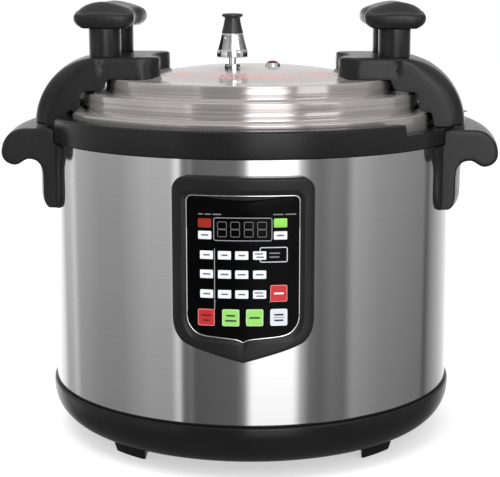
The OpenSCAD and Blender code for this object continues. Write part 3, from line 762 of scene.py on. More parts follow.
# the inner ends are cut straight, front to back
for x0, x1, y0, y1 in ((-93.0, 107.4, -200, 0), (-107.4, 93.0, 0, 200)):
    tools.append(loft([[(x0, y0, z), (x1, y0, z), (x1, y1, z), (x0, y1, z)] for z in (-1.0, 12.0)]))
v, f = join(*parts)
make("foot_pads", v, f, FOOT.m, "cooker", "feet", sharp=38, cut=tools)

# top ring, with the two reliefs that let the lid arms swing
prof = (fillet([(198, 286.7), (198, 309.3), (196.8, 311), (184.6, 311), (183.5, 309.9)], [0.5, 1.2, 1.2, 0.8, 0.6], 4)
        + [(183.5, 304), (189.5, 300), (189.5, 287), (176, 287), (176, 284), (188, 284), (190, 276), (193.9, 276), (193.9, 286.7)])
marks = (46.0, 113.8, 226.0, 293.8)
ang = sorted(set([round(k * 1.0, 3) for k in range(360)]
                 + [round(m + d, 3) for m in marks for d in (-0.30, -0.22, -0.12, 0.0, 0.12, 0.22, 0.30)]))


def relief(r, z, a):
    fac = 0.0
    for lo, hi in ((46.0, 113.8), (226.0, 293.8)):
        fac = max(fac, smoothstep(lo - 0.3, lo + 0.1, a) * (1 - smoothstep(hi - 0.1, hi + 0.3, a)))
    if z > 301.5 and r > 181 and fac > 0:
        t = (z - 301.5) / 9.5
        z = lerp(z, 301.5 + 0.02 * t, fac)
    return r, z


v, f = revolve(prof, angles=ang, clamp=relief)
make("rim_ring", v, f, RING.m, "cooker", "top_ring", sharp=40)

# ------------------------------------------------- pots and hot plate

v1 = revolve(fillet([(158, 62), (158, 303), (163, 303), (163, 299), (160, 297), (160, 289), (189.3, 289), (189.3, 287.1),
                     (160, 287.1), (160, 60), (5, 60), (5, 62)], [4, 0.4, 0.4, 0.8, 1, 1.5, 0.3, 0.3, 1, 4.5, 0, 0], 3), 180)
lugs = [block(162.5, 171, 299, 303, (k + 0.5) * 36 - 7, (k + 0.5) * 36 + 7) for k in range(10)]
v, f = join(v1, *lugs)
make("well_pot", v, f, POT_OUT.m, "cooker", "outer_pot")

prof = ([(0, 80), (142, 80)] + arc(142, 92, 12, 270, 360, 10)[1:] + fillet([(154, 296.5), (157, 297.2), (157, 299.5), (156, 300), (151.5, 300)],
        [1, 0.8, 0.5, 0.5, 0], 3, closed=False)[0:] + [(151.5, 299.6)] + arc(142, 92, 9.5, 360, 270, 10) + [(60, 82.5), (0, 82.5)])
v, f = revolve(clean(prof), 180)
make("cook_pot", v, f, POT_IN.m, "cooker", "inner_pot")

prof = fillet([(15.2, 68), (128, 68), (132, 72), (132, 78), (130, 80), (15.2, 80)], [0.5, 2, 1.5, 1, 0.8, 0.8], 3)
v1 = revolve(prof, 144)
v2 = revolve(arc(105, 66.5, 4.5, 0, 345, 23), 144)
feet3 = []
for a in (0, 120, 240):
    cx, cy = 90 * math.sin(rad(a)), -90 * math.cos(rad(a))
    feet3.append(revolve([(0, 62.05), (7.4, 62.05), (8, 62.6), (8, 69), (0, 69)], 32, cx, cy))
v, f = join(v1, v2, *feet3)
make("hot_plate", v, f, CAST.m, "cooker", "heating_plate")

prof = fillet([(159.4, 303.3), (168.4, 303.3), (169.4, 304.3), (169.4, 309.7), (168.4, 310.7), (160.4, 310.7), (159.4, 309.7),
               (159.4, 307.4), (162, 306.4), (162, 305.4), (159.4, 304.8)], 0.6, 3)
v, f = revolve(prof, 180)
make("seal_ring", v, f, SEAL.m, "lid_seal", "sealing_gasket")

# ------------------------------------------------------ carry handles

def prism(pts, z0, z1):
    return loft([[(x, y, z0) for x, y in pts], [(x, y, z1) for x, y in pts]])


saddle = smooth([(-72, 225.4), (-80, 227), (-85.5, 231.5), (-87.6, 238), (-88.3, 250), (-89.2, 262), (-91, 270),
                 (-93.4, 277), (-94.6, 285.4), (-60, 286.2), (0, 286.4), (60, 286.2), (94.6, 285.4), (93.4, 277), (91, 270), (89.2, 262),
                 (88.3, 250), (87.6, 238), (85.5, 231.5), (80, 227), (72, 225.4), (0, 225.2)], 4)
for side, nm, to3d in ((1, "right", right), (-1, "left", left)):
    v, f = plate(saddle, 197.5, 195.05, to3d, bevel=0.9, steps=3, grid=7)
    ys_ = [-78.25 + 156.5 * k / 24 for k in range(25)]
    pocket = ([(side * math.sqrt(196.25 ** 2 - y * y), y) for y in ys_]
              + [(side * math.sqrt(206.0 ** 2 - y * y), y) for y in reversed(ys_)])
    make("saddle_" + nm, v, f, HANDLE.m, "cooker", "handle_saddle_" + nm, cut=[prism(pocket, 218, 292)])


def cap(ring, y, step, lean=None, extra=()):
    """Flat triangles that fill the end section at y; lean(x, z) moves points inwards."""
    pts = [Vector((x, z)) for x, z in ring]
    n = len(pts)
    edges = [(k, (k + 1) % n) for k in range(n)]
    xs, zs = [p[0] for p in ring], [p[1] for p in ring]
    nx, nz = int((max(xs) - min(xs)) / step) + 1, int((max(zs) - min(zs)) / step) + 1
    grid = [(lerp(min(xs), max(xs), (i + 0.5 * (k % 2)) / nx), lerp(min(zs), max(zs), k / nz)) for i in range(nx) for k in range(1, nz)]
    for x, z in list(extra) + grid:
        if inside(ring, x, z) and not near_edge(ring, x, z, step * 0.35):
            pts.append(Vector((x, z)))
    v, _, f, _, _, _ = delaunay_2d_cdt(pts, edges, [], 0, 1e-5, False)
    tris = []
    for t in f:
        cx, cz = sum(v[q].x for q in t) / len(t), sum(v[q].y for q in t) / len(t)
        if inside(ring, cx, cz):
            tris.append(tuple(t))
    return [(p.x, y if lean is None else y - math.copysign(lean(p.x, p.y), y), p.y) for p in v], tris


def sweep_y(half, D, H, side, fracs, at, dirs=None, u_steps=7, grid=6.0, lean=None, extra=()):
    """Sections across Y. D and H are the inset and the depth of the rounding at the two ends,
    for each point of the section; fracs places the sections between them."""
    n = len(D)
    base = [at(i, half) for i in range(n)]
    nn = normals(base)
    flip = 1 if area(base) > 0 else -1
    nn = [(flip * a, flip * b) for a, b in nn]
    for i in (dirs or {}):
        nn[i] = dirs[i]

    def section(u, sign):
        ring = []
        for i in range(n):
            d = D[i] * (1 - math.sin(PI / 2 * u))
            y = half - H[i] * (1 - math.cos(PI / 2 * u))
            x, z = at(i, y)
            x, z = x + nn[i][0] * d, z + nn[i][1] * d
            if lean:
                y -= lean(x, z)
            ring.append((side * x, sign * y, z))
        return ring
    rings = [section(k / u_steps, -1) for k in range(u_steps + 1)]
    for q in fracs:
        ring = []
        for i in range(n):
            y = q * (half - H[i])
            x, z = at(i, y)
            if lean:
                y -= math.copysign(lean(x, z) * abs(q), y)
            ring.append((side * x, y, z))
        rings.append(ring)
    rings += [section(k / u_steps, 1) for k in range(u_steps, -1, -1)]
    v, f = loft(rings, caps=False)
    out = [(v, f)]
    ends = [(x * side, z) for x, y, z in rings[0]]
    for sign in (-1, 1):
        cv, cf = cap(ends, sign * half, grid, lean, extra)
        cv = [(side * x, y, z) for x, y, z in cv]
        out.append((cv, cf))
    return join(*out)


nose = [(190, 300.6), (198, 300.6)] + smooth_open([(207, 300.6), (214, 300), (220.6, 297.6), (226, 293.2), (229.8, 287.4), (231.6, 281),
        (231.9, 277.6), (231.2, 273.8), (229.2, 270.4), (226.3, 267.9), (222.9, 266.5), (219.6, 266), (216.5, 266.5), (213.8, 267.9),
        (211, 269.8), (208.5, 271), (205.8, 271.5), (203, 271.2), (200.2, 270.5), (197.6, 269), (195.2, 266.4), (193.4, 262.4),
        (192.8, 256), (192.8, 246), (192.7, 237), (191.7, 231.4), (189.8, 227.6), (187.2, 225.6)], 3)
carry_spec = ([("r", 196.4, 225.6), ("r", 196.4, 240), ("r", 196.4, 262), ("r", 196.4, 286.5), ("r", 198.35, 286.7), ("r", 198.35, 299.2)]
              + [("p",) + q for q in nose])


def carry_at(i, y):
    kind, x, z = carry_spec[i]
    if kind == "r":
        return math.sqrt(x * x - y * y), z
    sag = lerp(12.0, 6.4, smoothstep(193, 210, x)) if z < 290 else lerp(9.0, 6.4, smoothstep(190, 225, x))
    return x + sag * (1 - (y / 78.0) ** 2), z


Dc = [0.4 if q[0] == "r" else (1.4 if q[2] < 232 else 3.4) for q in carry_spec]
Hc = list(Dc)
Dc[5], Hc[5] = 0.6, 1.2
Dc[6], Hc[6] = 1.2, 2.0
for i, q in enumerate(carry_spec):
    if q[0] == "p" and q[2] < 269 and q[1] < 200:
        Dc[i] = Hc[i] = 1.6
fr = [-0.97, -0.9, -0.8, -0.66, -0.5, -0.33, -0.16, 0, 0.16, 0.33, 0.5, 0.66, 0.8, 0.9, 0.97]
for side, nm in ((1, "right"), (-1, "left")):
    v, f = sweep_y(78, Dc, Hc, side, fr, carry_at, grid=5.0)
    make("carry_" + nm, v, f, HANDLE.m, "cooker", "side_handle_" + nm, sharp=42)

# ----------------------------------------------------------- lid arms


def arm_bottom(r):
    if r <= 114:
        return 345.95 + 12.1 * (1 - (r / 114.0) ** 2)
    return max(345.7, 345.95 - 0.0625 * (r - 114))


def arm_xmin(y):
    y = abs(y)
    if y > 50:
        return 103 - math.sqrt(max(0.0, 361 - (y - 50) ** 2))
    return interp(lobe, y)


lobe = [(q[1], q[0]) for q in smooth_open([(96, 0), (95.8, 12), (94.6, 23), (90.4, 35), (85.6, 43), (84, 50)], 6)]
step_pts = fillet([(147.6, 345.7), (148.8, 345.0), (149.4, 343), (151, 338.4), (153.7, 335.8), (168.4, 334.4), (170.6, 333), (171.8, 330.4),
                   (172.6, 319.4), (174.6, 317.2), (182, 316), (184, 314), (185.6, 303.02)],
                  [0, 0.8, 1.5, 2.5, 2, 1.5, 1.2, 1.5, 2, 1.6, 1.4, 1.5, 0], 2, closed=False)
NB, NT = 16, 12
arc_pts = [(147.8 + 59.5 * max(0.0, math.cos(rad(t))) ** 1.03, 303.02 + 62.98 * math.sin(rad(t)) ** 1.03, t) for t in [i * 90 / 40 for i in range(41)]]
spec = ([("b", i / NB) for i in range(NB)] + [("f", p) for p in step_pts] + [("g", 0.3), ("g", 0.6), ("g", 0.85)]
        + [("a", p) for p in arc_pts] + [("t", i / NT) for i in range(1, NT)]
        + [("w", (2.6, 0.0)), ("w", (1.6, 0.25)), ("w", (0.75, 0.75)), ("w", (0.2, 1.7)), ("w", (0.0, 2.8))]
        + [("v", 0.35), ("v", 0.7)])


def turned_at(x, y):
    return -140 + math.sqrt((x + 140) ** 2 - y * y)


def arm_at(i, y):
    kind, q = spec[i]
    x0 = arm_xmin(y)
    if kind == "b":
        x1 = math.sqrt(147.6 ** 2 - y * y)
        x = lerp(x0, x1, q)
        return x, arm_bottom(math.hypot(x, y))
    if kind == "f":
        return math.sqrt(q[0] ** 2 - y * y), q[1]
    if kind == "g":
        return lerp(math.sqrt(185.6 ** 2 - y * y), turned_at(207.3, y), q), 303.02
    if kind == "a":
        return turned_at(q[0], y), q[1]
    if kind == "t":
        return lerp(turned_at(147.8, y), x0 + 3.4, q), 366.0
    if kind == "w":
        return x0 + q[0], 366.0 - q[1]
    zb = arm_bottom(math.hypot(x0, y))
    return x0, lerp(363.0, zb, q)


def slab_lean(x, z):
    """The front of the inner part leans back a little."""
    return 2.3 * max(0.0, min(1.0, (z - 347.0) / 18.0)) * (1 - smoothstep(138.6, 140.6, x))


Da, Ha, dirs = [], [], {}
for i, (kind, q) in enumerate(spec):
    if kind == "a":
        k = smoothstep(89, 52, q[2])
        Da.append(lerp(4.0, 13.8, k))
        Ha.append(lerp(4.0, 13.8, k))
    elif kind in ("t", "w"):
        Da.append(4.0 if kind == "t" else 3.2)
        Ha.append(4.0)
    elif kind == "g":
        Da.append(lerp(0.8, 13.8, q))
        Ha.append(lerp(0.8, 13.8, q))
        dirs[i] = (-1.0, 0.0)
    else:
        Da.append(0.8)
        Ha.append(0.8)
fr = [0.985, 0.965, 0.94, 0.9, 0.86, 0.8, 0.74, 0.68, 0.62, 0.56, 0.5, 0.44, 0.36, 0.28, 0.18, 0.08]
fr = [-q for q in fr] + [0] + list(reversed(fr))
edge_cols = [(x, 340 + 2.0 * k) for x in (138.4, 140.8) for k in range(14)]
for side, nm in ((1, "right"), (-1, "left")):
    v, f = sweep_y(69, Da, Ha, side, fr, arm_at, dirs=dirs, u_steps=8, grid=5.0, lean=slab_lean, extra=edge_cols)
    make("arm_" + nm, v, f, HANDLE.m, "lid", "lid_arm_" + nm, sharp=44)

# posts
for side, nm in ((1, "right"), (-1, "left")):
    parts = []
    for y in (-49, 49):
        prof = fillet([(2.6, 366.02), (15, 366.02), (15, 392.32), (2.6, 392.32)], [0, 0.5, 0.9, 0], 4)
        parts.append(revolve(prof, 96, side * 136, y))
    v, f = join(*parts)
    make("posts_" + nm, v, f, HANDLE.m, "lid", "lid_post_" + nm, sharp=45)

# grips
plan = smooth([(107.4, -49), (108.6, -58), (116, -64.4), (136, -66), (156, -64.4), (163.6, -58), (164.6, -49), (163, -34), (158.4, -18),
               (157, 0), (158.4, 18), (163, 34), (164.6, 49), (163.6, 58), (156, 64.4), (136, 66), (116, 64.4), (108.6, 58), (107.4, 49),
               (109.6, 34), (114.6, 18), (116, 0), (114.6, -18), (109.6, -34)], 7)
crown = [(107.4, 405.8), (108.4, 407.8), (113.6, 411.2), (122, 413.9), (131, 416.1), (137, 416.95), (140, 417), (147, 416.1), (153.6, 414),
         (158.4, 411.2), (162, 407.6), (164.4, 404.6)]


def grip_top(x, y):
    lo, hi = 107.4, 164.6
    z = interp(crown, x)
    ay = abs(y)
    if ay > 47:
        g = 1 - 0.74 * min(1.0, (ay - 47) / 14.0) ** 1.35
    else:
        g = 1 - 0.16 * (1 - (ay / 47.0) ** 2) ** 2
    return 403.0 + (z - 403.0) * g


def pillow(outline, zmid, zlow, top, D, Dlow, side, grid=2.6, steps=7):
    o = ccw(clean(outline, 0.05))
    nn = normals(o)
    n = len(o)
    inner = inset(o, D, nn)
    v2, tris, ids = patch([inner], grid)
    verts = [(x, y, top(x, y)) for x, y in v2]
    faces = [tuple(t) for t in tris]
    prev = ids[0]
    for k in range(1, steps + 1):
        q = rad(90 * k / steps)
        ring = []
        for (x, y), m, d in zip(o, nn, D):
            e = d * (1 - math.sin(q))
            px, py = x + m[0] * e, y + m[1] * e
            ix, iy = x + m[0] * d, y + m[1] * d
            zt = top(ix, iy)
            ring.append((px, py, zmid + (zt - zmid) * math.cos(q)))
        s = len(verts)
        verts += ring
        cur = list(range(s, s + n))
        faces += [(prev[i], prev[(i + 1) % n], cur[(i + 1) % n], cur[i]) for i in range(n)]
        prev = cur
    for k in range(1, steps + 1):
        q = rad(90 * k / steps)
        ring = []
        for (x, y), m, d in zip(o, nn, Dlow):
            e = d * (1 - math.cos(q))
            ring.append((x + m[0] * e, y + m[1] * e, zmid - (zmid - zlow) * math.sin(q)))
        s = len(verts)
        verts += ring
        cur = list(range(s, s + n))
        faces += [(prev[i], prev[(i + 1) % n], cur[(i + 1) % n], cur[i]) for i in range(n)]
        prev = cur
    inner2 = inset(o, Dlow, nn)
    v3, tris3, ids3 = patch([inner2], grid * 2)
    s = len(verts)
    verts += [(x, y, zlow) for x, y in v3]
    faces += [tuple(reversed([i + s for i in t])) for t in tris3]
    verts = [(side * x, y, z) for x, y, z in verts]
    return verts, faces


o = ccw(clean(plan, 0.05))
nn = normals(o)
Dt = [3.6 for _ in o]
Dl = [5.0 + 7.6 * min(1.0, (m[0] * m[0]) / (m[0] ** 2 + m[1] ** 2)) for m in nn]


def box_tool(x0, x1, y0, y1, z0, z1):
    vs = [(x, y, z) for x in (x0, x1) for y in (y0, y1) for z in (z0, z1)]
    return vs, [(0, 1, 3, 2), (4, 6, 7, 5), (0, 4, 5, 1), (2, 3, 7, 6), (0, 2, 6, 4), (1, 5, 7, 3)]


for side, nm in ((1, "right"), (-1, "left")):
    v, f = pillow(plan, 401.6, 392.4, grip_top, Dt, Dl, side)
    xs = sorted((side * 135.2, side * 144.2))
    tools = [box_tool(xs[0], xs[1], s * 46 - 1.5, s * 46 + 1.5, 412.4, 420) for s in (-1, 1)]
    make("grip_" + nm, v, f, HANDLE.m, "lid", "lid_grip_" + nm, sharp=38, cut=tools)

# ---------------------------------------------------------------- lid

N = 288
groove = [(163, 326.6), (162.45, 326.2), (162.4, 324.6), (163, 324.2)]
outer = ([(178, 292.5), (178, 313.2)] + arc(176.6, 313.6, 1.4, 0, 90, 6)
         + [(171, 315.0), (166.2, 315.05)] + arc(165.2, 317.2, 2.2, 270, 180, 6)
         + [(163, 319.8), (163.25, 320.4), (163, 321.0), (163, 324.2), (162.5, 324.7), (162.5, 326.1), (163, 326.6), (163, 330.7)]
         + arc(161.7, 330.7, 1.3, 0, 90, 6)
         + [(152, 332.0), (144.4, 332.05)] + arc(143.2, 334.2, 2.2, 270, 180, 6)
         + [(141, 337.2), (141.2, 337.8), (141, 338.4), (141, 344.0)] + arc(139.5, 344.0, 1.5, 0, 90, 6)
         + [(130, 345.5), (119, 345.5), (117, 345.5)])
under = ([(113, 341.6), (118, 341.5), (134, 341.5)] + arc(134, 338.5, 3, 90, 0, 4) + [(137, 331)] + arc(140, 331, 3, 180, 270, 4)
         + [(156, 328)] + arc(156, 325, 3, 90, 0, 4) + [(159, 314)] + arc(162, 314, 3, 180, 270, 4)
         + [(171.5, 311)] + arc(171.5, 308.5, 2.5, 90, 0, 4) + [(174, 292.5)])


def dome_z(r):
    return 345.7 + 12.1 * (1 - (r / 114.0) ** 2)


prof_top = clean(outer) + [(115.4, 345.55), (114.0, 345.75), (112.4, dome_z(112.4))]
verts, faces = revolve(prof_top, N, closed=False)
v2_, f2_ = revolve([(112.4, 341.75)] + under, N, closed=False)
nt_ = len(prof_top)
parts = [(verts, faces), (v2_, f2_)]
# the rim at the bottom joins the outer and inner walls
rim_v = [verts[k * nt_] for k in range(N)] + [v2_[k * (len(under) + 1) + len(under)] for k in range(N)]
parts.append((rim_v, [(k, (k + 1) % N, N + (k + 1) % N, N + k) for k in range(N)]))
# dome with the two valve holes
rim2 = [(112.4 * math.sin(2 * PI * k / N), -112.4 * math.cos(2 * PI * k / N)) for k in range(N)]
holes = [[(cx + 5.1 * math.cos(2 * PI * k / 32), cy + 5.1 * math.sin(2 * PI * k / 32)) for k in range(32)]
         for cx, cy in ((-15.6, -52), (21.6, -30))]
loops = [ccw(rim2)] + [cw(h) for h in holes]
pv, pt, pid = patch(loops, 6.0)
base_n = len(pv)
dv = [(x, y, dome_z(math.hypot(x, y))) for x, y in pv] + [(x, y, dome_z(math.hypot(x, y)) - 4) for x, y in pv]
df = [tuple(t) for t in pt] + [tuple(reversed([i + base_n for i in t])) for t in pt]
for ids_ in pid[1:]:
    n_ = len(ids_)
    df += [(ids_[i], ids_[(i + 1) % n_], ids_[(i + 1) % n_] + base_n, ids_[i] + base_n) for i in range(n_)]
parts.append((dv, df))
for k in range(10):
    parts.append(block(165.6, 174.4, 292.5, 296.8, k * 36 - 7, k * 36 + 7))
v, f = join(*parts)
make("lid_spun", v, f, LID.m, "lid", "lid_shell", sharp=40)


def lid_mark(r, a, w, h, turn=0.0):
    """A short printed dash on the dome, centre at radius r and azimuth a."""
    cx, cy = r * math.sin(rad(a)), -r * math.cos(rad(a))
    pts = rrect(w, h, min(w, h) * 0.3, 2)
    q = rad(a + turn)
    pts = [(cx + x * math.cos(q) - y * math.sin(q), cy + x * math.sin(q) + y * math.cos(q)) for x, y in pts]
    hi = [(x, y, dome_z(math.hypot(x, y)) + 0.09) for x, y in pts]
    lo = [(x, y, dome_z(math.hypot(x, y)) - 0.05) for x, y in pts]
    return loft([lo, hi])


parts = []
pattern = [5, 8, 3, 9, 4, 6, 7, 3, 8, 5]
for row, (r, h) in enumerate(((97.5, 3.0), (90.0, 3.0), (82.5, 3.0))):
    a, i = -62.0 + 3 * row, 2 * row
    while a < 62 - 3 * row:
        w = pattern[i % len(pattern)]
        da = math.degrees(w / r)
        parts.append(lid_mark(r, a + da / 2, w, h))
        a += da + math.degrees(2.2 / r)
        i += 1
v, f = join(*parts)
make("lid_marks", v, f, PINK.m, "lid", sharp=30)

# -------------------------------------------------------------- valves

vx, vy, fx, fy = -15.6, -52.0, 21.6, -30.0
stem = revolve(fillet([(1.5, 338), (5, 338), (5, 353.9), (3.4, 359.0), (3.4, 381), (2, 384), (1.5, 384)],
                      [0, 0.4, 0.1, 0.8, 0.4, 0.4, 0], 3), 48, vx, vy)
hexr = []
for z, s in ((353.95, 0.94), (354.4, 1.0), (358.4, 1.0), (359.3, 0.93), (359.8, 0.80), (359.8, 0.5)):
    pts = fillet([(7.4 * s * math.cos(rad(60 * k)), 7.4 * s * math.sin(rad(60 * k))) for k in range(6)], 0.5, 2)
    hexr.append([(vx + x, vy + y, z) for x, y in pts])
v, f = join(stem, loft(hexr))
make("vent_stem", v, f, CHROME.m, "lid", "vent_pipe", sharp=32)

prof = ([(3.46, 366.3), (3.8, 366.0), (13.6, 366.0)] + fillet([(14.2, 366.0), (15, 366.5), (15, 371.6), (14.2, 372.6)], [0.2, 0.6, 0.5, 0.3], 3, closed=False)
        + [(14.0, 373.2), (13.5, 375), (12.8, 377.4), (12.1, 380), (11.7, 381.6), (11.25, 383.3), (10.9, 384.8), (10.5, 386.4), (10.2, 387.6),
           (9.9, 388.0), (4, 388), (0, 388), (0, 384.2), (2.1, 384.2), (3.46, 381.2), (3.46, 370)])
v, f = revolve(prof, 96, vx, vy)
tools = []
for a in (30, 90, 150, 210, 270, 330):
    rings = []
    for d in (6.0, 14.0):
        ring = []
        for k in range(24):
            t = 2 * PI * k / 24
            u, w = 1.35 * math.cos(t), 1.9 * math.sin(t)
            ring.append((vx + d * math.sin(rad(a)) + u * math.cos(rad(a)), vy - d * math.cos(rad(a)) + u * math.sin(rad(a)), 383.6 + w))
        rings.append(ring)
    tools.append(loft(rings))
make("weight_chrome", v, f, CHROME.m, "weight_valve", "weight_body", sharp=30, cut=tools)

prof = ([(0, 388.05), (9.6, 388.05), (10.1, 388.5)] + smooth_open([(10.0, 389.2), (9.0, 393), (8.0, 397.6), (7.35, 401.2), (7.5, 402.4),
        (9.0, 403.4), (9.8, 404.2), (9.9, 405.0), (9.2, 405.9), (6.6, 406.4), (3, 406.58), (0, 406.6)], 4))
v, f = revolve(prof, 72, vx, vy)
make("weight_knob", v, f, CAPB.m, "weight_valve", "weight_cap", sharp=40)

prof = fillet([(3.06, 341), (5, 341), (5, 355.65), (8.4, 355.65), (7.9, 356.4), (6.7, 359.4), (5.95, 359.4), (5.95, 357.2), (3.06, 357.2)],
              [0, 0.4, 0, 0.3, 0.6, 0.3, 0.2, 0.2, 0], 3)
v, f = revolve(prof, 64, fx, fy)
make("float_collar", v, f, CHROME.m, "lid", "float_seat", sharp=35)

prof = ([(0, 334.4), (3, 334.4), (3, 357.4), (5.4, 357.4), (5.6, 357.8)] + smooth_open([(5.6, 358.6), (5.35, 359.4), (4.6, 360.3), (3.4, 360.95),
        (1.8, 361.32), (0, 361.4)], 4))
v, f = revolve(prof, 56, fx, fy)
make("float_head", v, f, FLOATRED.m, "float_valve", "float_pin", sharp=40)

# --------------------------------------------------------------- panel


def shield(o_):
    h, c = 61.4 - o_, 12 - min(o_, 8)
    return (arc(h - c, 272.7 - o_ - c, c, 0, 90, 10) + arc(-h + c, 272.7 - o_ - c, c, 90, 180, 10)
            + smooth_open([(-h, 160), (-h, 149), (-h + 0.9, 141.6), (-h + 3, 135.6 + o_ * 0.3), (-h + 7.6, 129 + o_ * 0.6), (-h + 14, 125.3 + o_ * 0.8),
                           (-36 + o_ * 0.3, 121 + o_), (-17, 115.4 + o_), (0, 110.7 + o_ * 1.04)], 5)
            + smooth_open([(0, 110.7 + o_ * 1.04), (17, 115.4 + o_), (36 - o_ * 0.3, 121 + o_), (h - 14, 125.3 + o_ * 0.8),
                           (h - 7.6, 129 + o_ * 0.6), (h - 3, 135.6 + o_ * 0.3), (h - 0.9, 141.6), (h, 149), (h, 160)], 5)[1:])


def face(o_):
    h = 48 + o_
    c = max(1.0, 4 + o_ * 0.8)
    low = [(-h, 151), (-h + 1, 146.4 - o_ * 0.3), (-h + 3.6, 141.6 - o_ * 0.7), (-h + 8.4, 137.2 - o_), (-h + 15, 135 - o_), (-24.7, 134 - o_),
           (-7.4, 132.3 - o_), (-3, 131.2 - o_), (0, 129.6 - o_ * 1.1)]
    lo = smooth_open(low, 4)
    return (arc(h - c, 256.5 + o_ - c, c, 0, 90, 8) + arc(-h + c, 256.5 + o_ - c, c, 90, 180, 8)
            + lo + [(-x, z) for x, z in reversed(lo[:-1])])


def rays(pts, n=420, cx=0.0, cz=192.0):
    """The outline sampled along n rays from a centre, so that outlines can be lofted."""
    out = []
    for k in range(n):
        t = 2 * PI * k / n - PI / 2
        dx, dz = math.cos(t), math.sin(t)
        best = None
        for i in range(len(pts)):
            x1, z1 = pts[i - 1][0] - cx, pts[i - 1][1] - cz
            x2, z2 = pts[i][0] - cx, pts[i][1] - cz
            den = dx * (z2 - z1) - dz * (x2 - x1)
            if abs(den) < 1e-12:
                continue
            q = (x1 * (z2 - z1) - z1 * (x2 - x1)) / den
            u = (x1 * dz - z1 * dx) / den
            if q > 0 and -1e-7 <= u <= 1 + 1e-7:
                best = q if best is None else max(best, q)
        out.append((cx + best * dx, cz + best * dz))
    return out


stack = [(shield(0), 195.05), (shield(0), 200.6), (shield(0.15), 201.7), (shield(0.7), 202.7), (shield(1.6), 203.3), (shield(2.6), 203.5),
         (shield(3.4), 203.5), (face(5.4), 203.46), (face(4.9), 203.36), (face(4.5), 203.1), (face(2.2), 201.95), (face(1.7), 201.75), (face(1.27), 201.7),
         (face(1.27), 199.55), (face(-6.5), 199.5), (face(-6.5), 195.05)]
rings = [[front(x, z, r) for x, z in rays(p)] for p, r in stack]
v, f = loft(rings, loop=True)
make("bezel", v, f, BEZEL.m, "cooker", "panel_bezel", sharp=46)

key_x = [30.8, -31.6, -10.4, 10.2, 30.9]
key_z = [172.6, 151, 151.1, 151.3, 151.4]
holes = []
for x, z in zip(key_x, key_z):
    k = math.cos(math.asin(x / 201.3))
    holes.append(moved(rrect(15.4 * k + 0.5, 15.4, 1.4, 4), x, z))
disp = moved(rrect(49.6, 19.6, 1.6, 5), 0, 228.4)
v, f = plate(face(0), 201.3, 199.62, front, holes=holes + [disp], bevel=0.15, steps=1, grid=5)
make("overlay", v, f, OVERLAY.m, "cooker", "panel_overlay", sharp=30)

o1 = ccw(rays(face(1.15)))
o2 = ccw(rays(face(0.02)))
v, f = strip(o1, o2, 199.7, 201.95, front, edge=0.3)
make("trim_line", v, f, TRIM.m, "cooker", "panel_trim", sharp=60)

v, f = plate(moved(rrect(49.4, 19.4, 1.5, 5), 0, 228.4), 201.12, 199.7, front, bevel=0.1, steps=1, grid=5)
make("display_glass", v, f, DISPLAY.m, "cooker", "display_window", sharp=30)

parts = []
for x in (-17.75, -6.5, 5.1, 16.45):
    for dz in (-3.35, 3.35):
        parts.append(frame_line(moved(rrect(8.4, 6.9, 1.5, 4), x, 228.3 + dz), 0.75, 201.08, 201.2, front))
v, f = join(*parts)
make("digit_frames", v, f, DIGIT.m, "cooker", "display_digits")

parts = [frame_line(moved(rrect(50.4, 20.4, 2.2, 6), 0, 228.4), 0.75, 201.2, 201.42, front),
         bar(-24.3, 184.9, 0.75, 53.6, 201.2, 201.4),
         bar(-0.3, 165.0, 48.2, 0.75, 201.2, 201.4)]
v, f = join(*parts)
make("panel_lines", v, f, LINE.m, "cooker")
v, f = frame_line(moved(rrect(23.9, 13.4, 1.8, 5), 26.35, 206.4), 0.8, 201.2, 201.42, front)
make("panel_box", v, f, LINEB.m, "cooker")

parts, marks_ = [], []
k = 0
for x in (-31.2, -15.7, -0.9, 14.4):
    for z in (205.9, 189.2, 171.8):
        parts.append(plate(moved(rrect(11.3, 7.3, 0.8, 4), x, z), 201.56, 201.25, front, bevel=0.12, steps=1, grid=6))
        if (x, z) in ((14.4, 205.9), (14.4, 171.8)):
            marks_ += [bar(x - 0.6, z + 1.4, 7.2, 1.1, 201.5, 201.6), bar(x + 0.4, z - 1.4, 6.4, 1.1, 201.5, 201.6)]
        else:
            w = (5.6, 6.8, 6.0)[k % 3]
            marks_.append(bar(x, z, w, 1.3, 201.5, 201.6))
        k += 1
for x in (-32.6, 32.1):
    parts.append(plate(moved(rrect(11.4, 7.1, 0.8, 4), x, 223.1), 201.56, 201.25, front, bevel=0.12, steps=1, grid=6))
    marks_.append(bar(x, 223.1, 6.4, 1.3, 201.5, 201.6))
v, f = join(*parts)
make("white_windows", v, f, WHITE.m, "cooker", "program_windows")
v, f = join(*marks_)
make("window_bars", v, f, MARK.m, "cooker")

v, f = plate(moved(rrect(11.4, 7.9, 1.0, 4), -32.7, 233.55), 201.62, 201.25, front, bevel=0.2, steps=2, grid=6)
make("lamp_red_lens", v, f, LRED.m, "cooker", "lamp_red")
v, f = plate(moved(rrect(11.4, 7.8, 1.0, 4), 32.1, 233.9), 201.62, 201.25, front, bevel=0.2, steps=2, grid=6)
make("lamp_green_lens", v, f, LGRN.m, "cooker", "lamp_green")

parts = []
for x0, widths in ((-37.8, (4.2, 5.2, 7.4)), (27.9, (8.6, 9.4))):
    x = x0
    for w in widths:
        parts.append(bar(x + w / 2 - (2 if x0 > 0 else 0.4), 241.2, w, 1.0, 201.25, 201.4))
        x += w + 1.5
for dx, dz, w in ((27.2, 207.8, 9.0), (27.0, 204.4, 8.4)):
    parts.append(bar(dx, dz, w, 1.2, 201.25, 201.4))
v, f = join(*parts)
make("panel_legend", v, f, LEGEND.m, "cooker")

